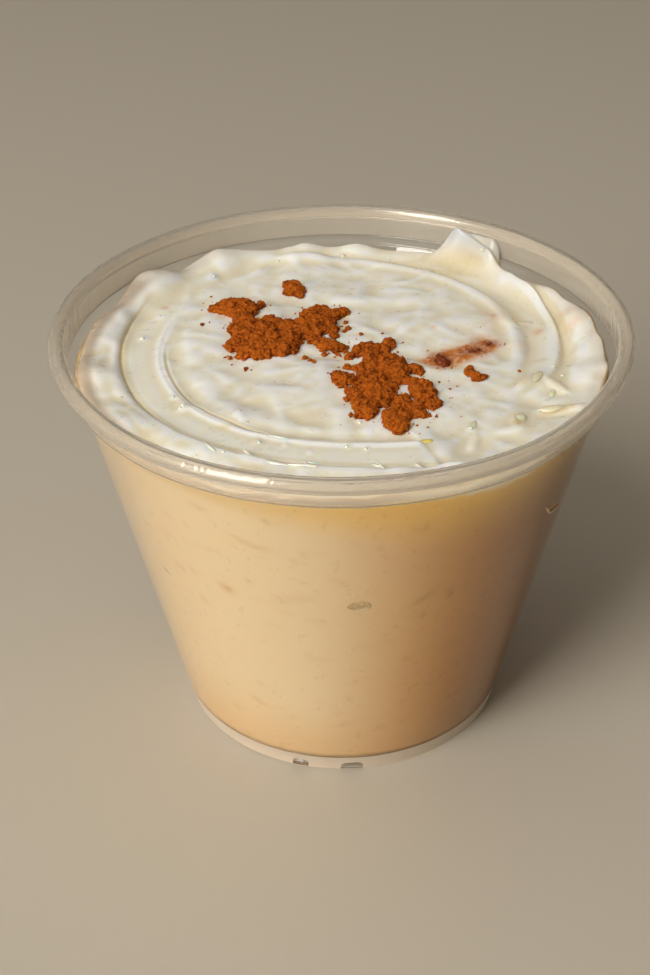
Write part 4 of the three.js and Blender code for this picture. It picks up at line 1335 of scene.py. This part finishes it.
# cooked grains that the cream does not cover, a yellow one first:
# pixel, half length, half width, half height, direction
RICE_GRAINS = (
    (427.5, 441.5, 1.25, 0.75, 0.6, 4), (559, 410, 3, 0.95, 0.5, 1), (536.5, 378, 1.9, 0.8, 0.4, 62),
    (553.5, 391.5, 1.6, 0.6, 0.4, 70), (520.5, 418.5, 0.85, 1.3, 0.35, 0), (474.5, 424.5, 1.7, 0.5, 0.35, 80),
    (529, 323, 2.4, 0.9, 0.35, -4),
)
GRAIN_SUNK = 0.6  # how far a grain's middle lies below the surface, as a share of its half height


def make_grains(material):
    places, sizes, turns = [], [], []
    for px, py, long, wide, high, turn in RICE_GRAINS:
        x, y, base = on_pudding(px, py)
        places.append((x, y, base - GRAIN_SUNK * high))
        sizes.append((long, wide, high))
        turns.append(math.radians(turn))
    mesh = ball_mesh("rice_grains", BALL_FINE, places, sizes, turns, roughness=0.0, seed=79)
    count = len(mesh.vertices)
    add_values(mesh, "yellow", np.arange(count) < count / len(RICE_GRAINS))
    add_piece(mesh, material)


def make_bubbles(material):
    """Flat hollows between the pudding's side and the wall, painted with shade and a highlight."""
    ball_points, ball_faces = ball_template(BUBBLE_FINE)
    points, faces, painted_highlight = [], [], []
    for px, py, length, width, tilt in BUBBLES:
        angle, z = at_wall_pixel(px, py)
        turn = math.radians(tilt)
        along, up, out = ball_points.T * np.array([[length / 2], [width / 2], [BUBBLE_DEPTH]])
        across = along * math.cos(turn) - up * math.sin(turn)
        height = z + along * math.sin(turn) + up * math.cos(turn)
        radius = wall_radius(level_height(angle, height)) - SHEET + WALL_REACH + out
        around = math.radians(angle) + across / wall_radius(z)
        faces.append(ball_faces + len(ball_points) * len(points))
        points.append(np.stack([radius * np.cos(around), radius * np.sin(around), height], axis=1))
        painted_highlight.append(step(*BUBBLE_LIT, ball_points @ BUBBLE_LIT_FROM))
    mesh = mesh_from("air_bubbles", np.concatenate(points), np.concatenate(faces))
    add_values(mesh, "painted_highlight", np.concatenate(painted_highlight))
    add_piece(mesh, material)


# a pale thread of dirt on the outside of the wall: pixels along it
FIBRE = ((544.4, 507.8), (545.4, 511.7), (549.2, 509.7), (552.4, 506.9), (555, 504))
FIBRE_RADIUS = 0.08
FIBRE_STEPS = 9
FIBRE_FINE = 2


def make_fibre(material):
    places = []
    for first, other in zip(FIBRE, FIBRE[1:]):
        for share in np.linspace(0, 1, FIBRE_STEPS):
            angle, z = at_wall_pixel(mix(first[0], other[0], share), mix(first[1], other[1], share))
            radius = wall_radius(level_height(angle, z)) + FIBRE_RADIUS / 2
            turn = math.radians(angle)
            places.append((radius * math.cos(turn), radius * math.sin(turn), z))
    sizes = np.full((len(places), 3), FIBRE_RADIUS)
    mesh = ball_mesh("pale_fibre", FIBRE_FINE, places, sizes, np.zeros(len(places)), roughness=0.05, seed=83)
    add_piece(mesh, material)


# ---- Cinnamon powder ----
# clumps of each heap, by the pixel of their middle and their radius
LEFT_CLUMPS = (
    (213.5, 307, 1), (219, 306, 1.3), (225, 304.5, 1.6), (231, 303, 1.7), (236, 305, 1.9),
    (243, 304, 1.9), (249, 306.5, 1.6), (255, 305, 0.7), (260, 304, 0.9), (229, 309, 1.2),
    (238, 311, 1.5), (241, 316, 1.5), (247, 319, 1.5), (234, 327, 1.3), (240, 331, 1.7),
    (249, 325, 1.7), (256, 323, 1.5), (262, 326, 1.8), (269, 319, 1.3), (271, 325, 1.9),
    (279, 324, 1.8), (287, 325, 1.8), (290, 331, 1.7), (248, 334, 1.9), (257, 335, 2),
    (265, 333, 1.9), (273, 334, 2), (282, 335, 2), (290, 337, 1.8), (231, 344.5, 1.2),
    (238, 342, 1.6), (245, 344, 1.8), (254, 345, 1.8), (263, 344, 1.9), (272, 345, 1.9),
    (281, 346, 1.9), (289, 345, 1.6), (294, 340, 1.3), (243, 353, 1), (250, 351, 1.2),
    (238, 356, 0.6), (258, 353, 1.1), (266, 351, 1.2), (297, 331, 1.5), (302, 323, 1.6),
    (303, 330, 1.5), (309, 314, 1.7), (307, 321, 1.7), (314, 319, 1.7), (320, 310.5, 1.7),
    (327, 314, 1.5), (334, 313, 1.4), (341.5, 310.5, 1.2), (321, 320, 1.7), (328, 321, 1.4),
    (333, 327, 1.1), (309, 331, 1.4), (315, 328, 1.5), (321, 327, 1.2), (313, 337, 1.2),
    (320, 340, 1.1), (327, 342.5, 1.3), (334, 344.5, 1.2), (341, 346.5, 1), (334, 335, 0.8),
)
RIGHT_CLUMPS = (
    (358.5, 349, 1.2), (364, 346, 1.3), (371, 346, 1.3), (377, 346.5, 1.3), (384, 348, 1.1),
    (389, 341.5, 1.2), (369, 352, 1.1), (375, 352, 1), (350.5, 354.5, 0.9), (355, 353, 0.8),
    (371, 358, 1.6), (377, 359, 1.6), (374, 364, 1.6), (391, 357, 1.3), (388, 363, 1.8),
    (396, 362, 1.8), (401, 369, 1.6), (393, 370, 1.6), (383, 368, 1.3), (348, 366.5, 0.7),
    (356, 367.5, 0.8), (361, 368, 0.8), (338, 374, 1.2), (344, 376, 1.4), (342, 381, 1),
    (351, 379, 1), (362, 374, 1.1), (369, 374, 1.3), (376, 377, 1.4), (366, 380, 1.3),
    (372, 384, 1.3), (380, 384, 1.4), (387, 384, 1.3), (394, 380, 1), (360, 384, 1),
    (400, 378, 0.8), (405, 380, 0.8), (410, 379, 0.9), (415, 381, 1.1), (418, 387, 1.4),
    (425, 384, 1.3), (428, 391, 1.4), (422, 393, 1.3), (431, 396, 0.9), (415, 392, 0.9),
    (424, 398, 0.8), (352, 390, 1.1), (357, 394, 1.1), (350, 396, 0.8), (363, 390, 0.8),
    (374, 392, 1.3), (381, 393, 1.3), (388, 391, 1.3), (393, 395, 1), (385, 398, 0.9),
    (359, 402, 1.3), (366, 404, 1.3), (373, 403, 1.2), (379, 401, 1.1), (385, 403, 0.9),
    (362, 410, 1.2), (369, 410, 1.3), (367, 414.5, 0.8), (375, 409, 0.8), (395, 403, 0.7),
    (403, 399, 1.4), (405, 405, 1.2), (399, 405, 1), (412, 406, 1), (418, 405, 1.1),
    (420, 411, 1), (413, 413, 0.8), (408, 411, 0.8), (425, 414, 0.5), (429, 414.5, 0.45),
    (432, 403, 1.1), (437, 402, 0.9), (434, 398.5, 0.7), (391, 414, 1.5), (397, 412, 1.5),
    (403, 415, 1.3), (394, 420, 1.5), (401, 422, 1.4), (387, 419.5, 0.8), (398, 427, 1.1),
    (404, 427, 0.7),
)
LONE_CRUMBS = (
    (288, 283, 1), (293, 285, 1.5), (297, 289, 1.4), (290, 289, 1.2), (300.5, 293.5, 0.8),
    (413, 366, 0.9), (417, 368, 1), (420.5, 371, 0.7), (470, 368, 0.7), (471.5, 372.5, 0.9),
    (477, 376, 1), (482, 377, 0.7), (486, 376, 0.4), (346, 322, 0.45), (348, 328, 0.55),
    (344, 331, 0.45), (342, 326, 0.3), (361, 333.5, 0.4), (305, 357, 0.5), (310, 360, 0.45),
    (314, 362, 0.4), (324.5, 353.7, 0.5), (338, 353.7, 0.45), (351.5, 414.5, 0.4), (436, 416, 0.35),
    (439, 381, 0.3), (450, 388.5, 0.28), (519, 370, 0.32), (202, 324, 0.42), (245.5, 368, 0.45),
    (230.5, 357.5, 0.4), (225, 357, 0.25), (210, 322.5, 0.2), (202, 310, 0.22), (417, 425.5, 0.2),
    (464, 395, 0.12), (382, 334, 0.25), (412.5, 339, 0.15), (275, 381, 0.14), (289, 381.5, 0.12),
)
WET_CLUMPS = (
    (438, 355.5, 0.5), (441.5, 358.5, 0.85), (445, 361.5, 0.8), (447.5, 364.5, 0.45), (436.5, 360, 0.4),
    (470, 351.5, 0.3), (474, 350.5, 0.28), (479, 349, 0.22), (488, 344.5, 0.3), (491, 343, 0.22),
)
POWDER_VOXEL = 0.13
POWDER_FINE = 2
# A clump is a flattened ball with small knobs over it. All are shares of the clump's radius, but for KNOBS.
CLUMP_SEEN = 0.6  # height at which the photograph shows it
CLUMP_LIFT = 0.2  # height of its middle above the cream
CLUMP_DEPTH = 1.2
CLUMP_HEIGHT = 0.8
KNOBS = 9
KNOB_OUT = (0.35, 1.05)
KNOB_DEEPER = 1.25  # how much further out the knobs lie in depth than in width
KNOB_TOP = 0.85
KNOB_FALL = 0.75  # how much lower they lie at the clump's edge, as a share of that
# and these are shares of the knob's own size
KNOB_SIZE = (0.26, 0.5)
KNOB_SUNK = 0.35
KNOB_DEPTH = (0.8, 1.3)
KNOB_HEIGHT = (0.7, 1.1)
CLUMP_TURN = 0.5  # radians either way
CLUMP_ROUGHNESS = 0.1


def clump_balls(clumps, seed):
    """Places and half sizes of every clump's balls."""
    random = np.random.default_rng(seed)
    places, sizes = [], []
    for px, py, radius in clumps:
        x, y, base = on_pudding(px, py, CLUMP_SEEN * radius)
        places.append((x, y, base + CLUMP_LIFT * radius))
        sizes.append((radius, CLUMP_DEPTH * radius, CLUMP_HEIGHT * radius))
        for _ in range(KNOBS):
            turn = random.uniform(0, 2 * math.pi)
            out = radius * random.uniform(*KNOB_OUT)
            size = radius * random.uniform(*KNOB_SIZE)
            lift = base + KNOB_TOP * radius * (1 - (out / radius) ** 2 * KNOB_FALL) - KNOB_SUNK * size
            places.append((x + out * math.cos(turn), y + KNOB_DEEPER * out * math.sin(turn), lift))
            sizes.append((size, size * random.uniform(*KNOB_DEPTH), size * random.uniform(*KNOB_HEIGHT)))
    return np.array(places), np.array(sizes)


# the powder's roughness: size and depth of its grains, and of a finer relief
GRIT_GRAINS = ((0.95, 0.22), (0.42, 0.17))
GRIT_NOISE = (0.2, 0.08)
JOINT = 0.3  # how deep the joints between grains are, as a share of a grain's depth
JOINT_WIDTH = 0.35  # as a share of a grain's size
# how much painted shade the joints get
JOINT_DARK = 0.6
LOW_GRAINS = (0.7, 0.2)  # a grain's own random value, from where its joints get no painted shade to where they get full
LOW_RELIEF = (0.12, 0.3)  # and how deep the relief is, in the same way
FAR_GRAIN = 9.0  # a distance that any real grain is nearer than


def grains_in_space(points, size, seed):
    """For each point its nearest grain's own random value, and 0 at a joint to 1 inside a grain."""
    cell = np.floor(points / size)
    nearest = np.full(len(points), FAR_GRAIN)
    second = nearest
    value = np.zeros(len(points))
    for corner in itertools.product((-1, 0, 1), repeat=3):
        cells = cell + corner
        shift = np.stack([scatter_in_space(cells, seed + axis) for axis in range(3)], axis=1)
        away = np.linalg.norm(points / size - cell - corner - shift, axis=1)
        closer = away < nearest
        second = np.where(closer, nearest, np.minimum(second, away))
        value = np.where(closer, scatter_in_space(cells, seed + 3), value)
        nearest = np.where(closer, away, nearest)
    return value, step(0, JOINT_WIDTH, second - nearest)


def powder_grit(points, seed):
    """Relief of the powder's skin and how much of it is hollow, for painted shade."""
    size, depth = GRIT_NOISE
    relief = depth * noise_in_space(points, size, seed)
    hollow = np.zeros(len(points))
    for size, depth in GRIT_GRAINS:
        value, inside = grains_in_space(points, size, seed)
        relief += depth * (value - 0.5 - JOINT * (1 - inside))
        hollow = np.maximum(hollow, JOINT_DARK * (1 - inside) * step(*LOW_GRAINS, value))
    return relief, np.clip(hollow + step(*LOW_RELIEF, -relief), 0, 1)


def make_heap(name, clumps, material, replaces, seed):
    """One heap: a granular skin over all its clumps."""
    places, sizes = clump_balls(clumps, seed)
    turns = np.random.default_rng(seed + 1).uniform(-CLUMP_TURN, CLUMP_TURN, len(places))
    balls = ball_mesh(name + "_rough", POWDER_FINE, places, sizes, turns, CLUMP_ROUGHNESS, seed)
    mesh = remeshed(name, balls, POWDER_VOXEL)
    points, normals = mesh_points(mesh)
    grit, hollow = powder_grit(points, seed)
    set_points(mesh, points + normals * grit[:, None])
    mesh.update()
    add_values(mesh, "hollow", hollow)
    add_piece(mesh, material, replaces)


# loose grains of powder
DUST = 1500
DUST_FINE = 1
DUST_SEED = 41
DUST_NEAREST = 0.5  # distance from a clump's middle
DUST_SPREAD = 1.15  # mean distance beyond that
DUST_LEAST = 0.05  # radius
DUST_MORE = 0.16  # what the largest have beyond that
DUST_FORM = (0.7, 1.3)  # half sizes as shares of the radius
DUST_LIFT = 0.3


def make_dust(material):
    """Loose grains of powder near the heaps, thinner further out."""
    random = np.random.default_rng(DUST_SEED)
    sources = [seen_at(px, py) for px, py, _ in LEFT_CLUMPS + RIGHT_CLUMPS + WET_CLUMPS]
    chosen = np.array(sources)[random.integers(0, len(sources), DUST)]
    far = random.exponential(DUST_SPREAD, (DUST, 1)) + DUST_NEAREST
    turn = random.uniform(0, 2 * np.pi, DUST)
    plan = chosen + far * np.stack([np.cos(turn), np.sin(turn)], axis=1)
    size = DUST_LEAST + DUST_MORE * random.uniform(size=DUST) ** 3
    x, y = plan.T
    places = np.stack([x, y, surface(x, y) + DUST_LIFT * size], axis=1)
    sizes = size[:, None] * random.uniform(*DUST_FORM, (DUST, 3))
    turns = random.uniform(0, 2 * np.pi, DUST)
    mesh = ball_mesh("cinnamon_dust", DUST_FINE, places, sizes, turns, roughness=0.22, seed=43)
    add_values(mesh, "hollow", np.zeros(len(mesh.vertices)))
    add_piece(mesh, material)


# ---- Studio ----
KEY_FROM = (-0.643, -0.767)  # the window's direction in plan
KEY_RISE = 37  # degrees above the horizon
KEY_DISTANCE = 1300
KEY_SIZE = (560, 1050)
KEY_POWER = 16.3
KEY_COLOUR = (1.0, 0.965, 0.90)
LOW_FROM = (-0.695, -0.719)  # the window's lowest part, which shows in the far wall
LOW_HEIGHT = 90
LOW_SIZE = (540, 150)
LOW_POWER = 1.3
TOP_PLACE = (-150, 250, 1500)
TOP_SIZE = (1400, 1400)
TOP_POWER = 3.0
TOP_COLOUR = (1.0, 0.98, 0.95)
WORLD_COLOUR = (0.86, 0.72, 0.54)
WORLD_STRENGTH = 0.16
FLOOR_HALF = 6000
FLOOR_COLOUR = (0.54, 0.49, 0.41)


def add_area(name, place, size, power, colour):
    """A soft box at a place in mm that faces the pudding."""
    data = bpy.data.lights.new(name, "AREA")
    data.shape = "RECTANGLE"
    data.size, data.size_y = (side * MM for side in size)
    data.energy = power
    data.color = colour
    lamp = bpy.data.objects.new(name, data)
    lamp.location = Vector(place) * MM
    middle = Vector((0, 0, LEVEL)) * MM
    lamp.rotation_mode = "QUATERNION"
    lamp.rotation_quaternion = (middle - lamp.location).to_track_quat("-Z", "Y")
    bpy.context.scene.collection.objects.link(lamp)


def make_lights():
    rise = math.radians(KEY_RISE)
    flat = KEY_DISTANCE * math.cos(rise)
    key_place = (KEY_FROM[0] * flat, KEY_FROM[1] * flat, LEVEL + KEY_DISTANCE * math.sin(rise))
    low_place = (LOW_FROM[0] * KEY_DISTANCE, LOW_FROM[1] * KEY_DISTANCE, LOW_HEIGHT)
    add_area("window", key_place, KEY_SIZE, KEY_POWER, KEY_COLOUR)
    add_area("window_foot", low_place, LOW_SIZE, LOW_POWER, KEY_COLOUR)
    add_area("ceiling", TOP_PLACE, TOP_SIZE, TOP_POWER, TOP_COLOUR)
    world = bpy.data.worlds.new("studio")
    world.use_nodes = True
    background = world.node_tree.nodes["Background"]
    background.inputs["Color"].default_value = (*WORLD_COLOUR, 1)
    background.inputs["Strength"].default_value = WORLD_STRENGTH
    bpy.context.scene.world = world


def make_floor(material):
    corners = FLOOR_HALF * np.array([[-1, -1, 0], [1, -1, 0], [1, 1, 0], [-1, 1, 0]])
    mesh = mesh_from("floor", corners, np.array([[0, 1, 2, 3]]))
    mesh.materials.append(material)
    floor = bpy.data.objects.new("floor", mesh)
    bpy.context.scene.collection.objects.link(floor)


make_camera()
make_lights()
make_floor(floor_material())
bpy.context.scene.view_settings.view_transform = "Standard"

clear_plastic = clear_material("clear_plastic", CLEAR, transmission=1.0, roughness=0.03)
hazy_lip = clear_material("hazy_lip", HAZE_AND_PAINTED_REFLECTION, transmission=0.86, roughness=0.13)
frosted_foot = clear_material("frosted_foot", FROSTED, transmission=0.25, roughness=0.5)
make_cup(clear_plastic, hazy_lip, frosted_foot)
make_pudding(pudding_material())
make_glints(wet_bead_material())
make_grains(rice_material())
make_bubbles(bubble_material())
make_fibre(fibre_material())

powder = powder_material()
make_heap("cinnamon_left_heap", LEFT_CLUMPS, powder, ["cinnamon_left"], seed=11)
make_heap("cinnamon_right_heap", RIGHT_CLUMPS, powder, ["cinnamon_right"], seed=47)
make_heap("cinnamon_crumbs", LONE_CRUMBS, powder, ["pudding"], seed=53)
make_heap("wet_cinnamon", WET_CLUMPS, wet_powder_material(), ["pudding"], seed=59)
make_dust(powder)
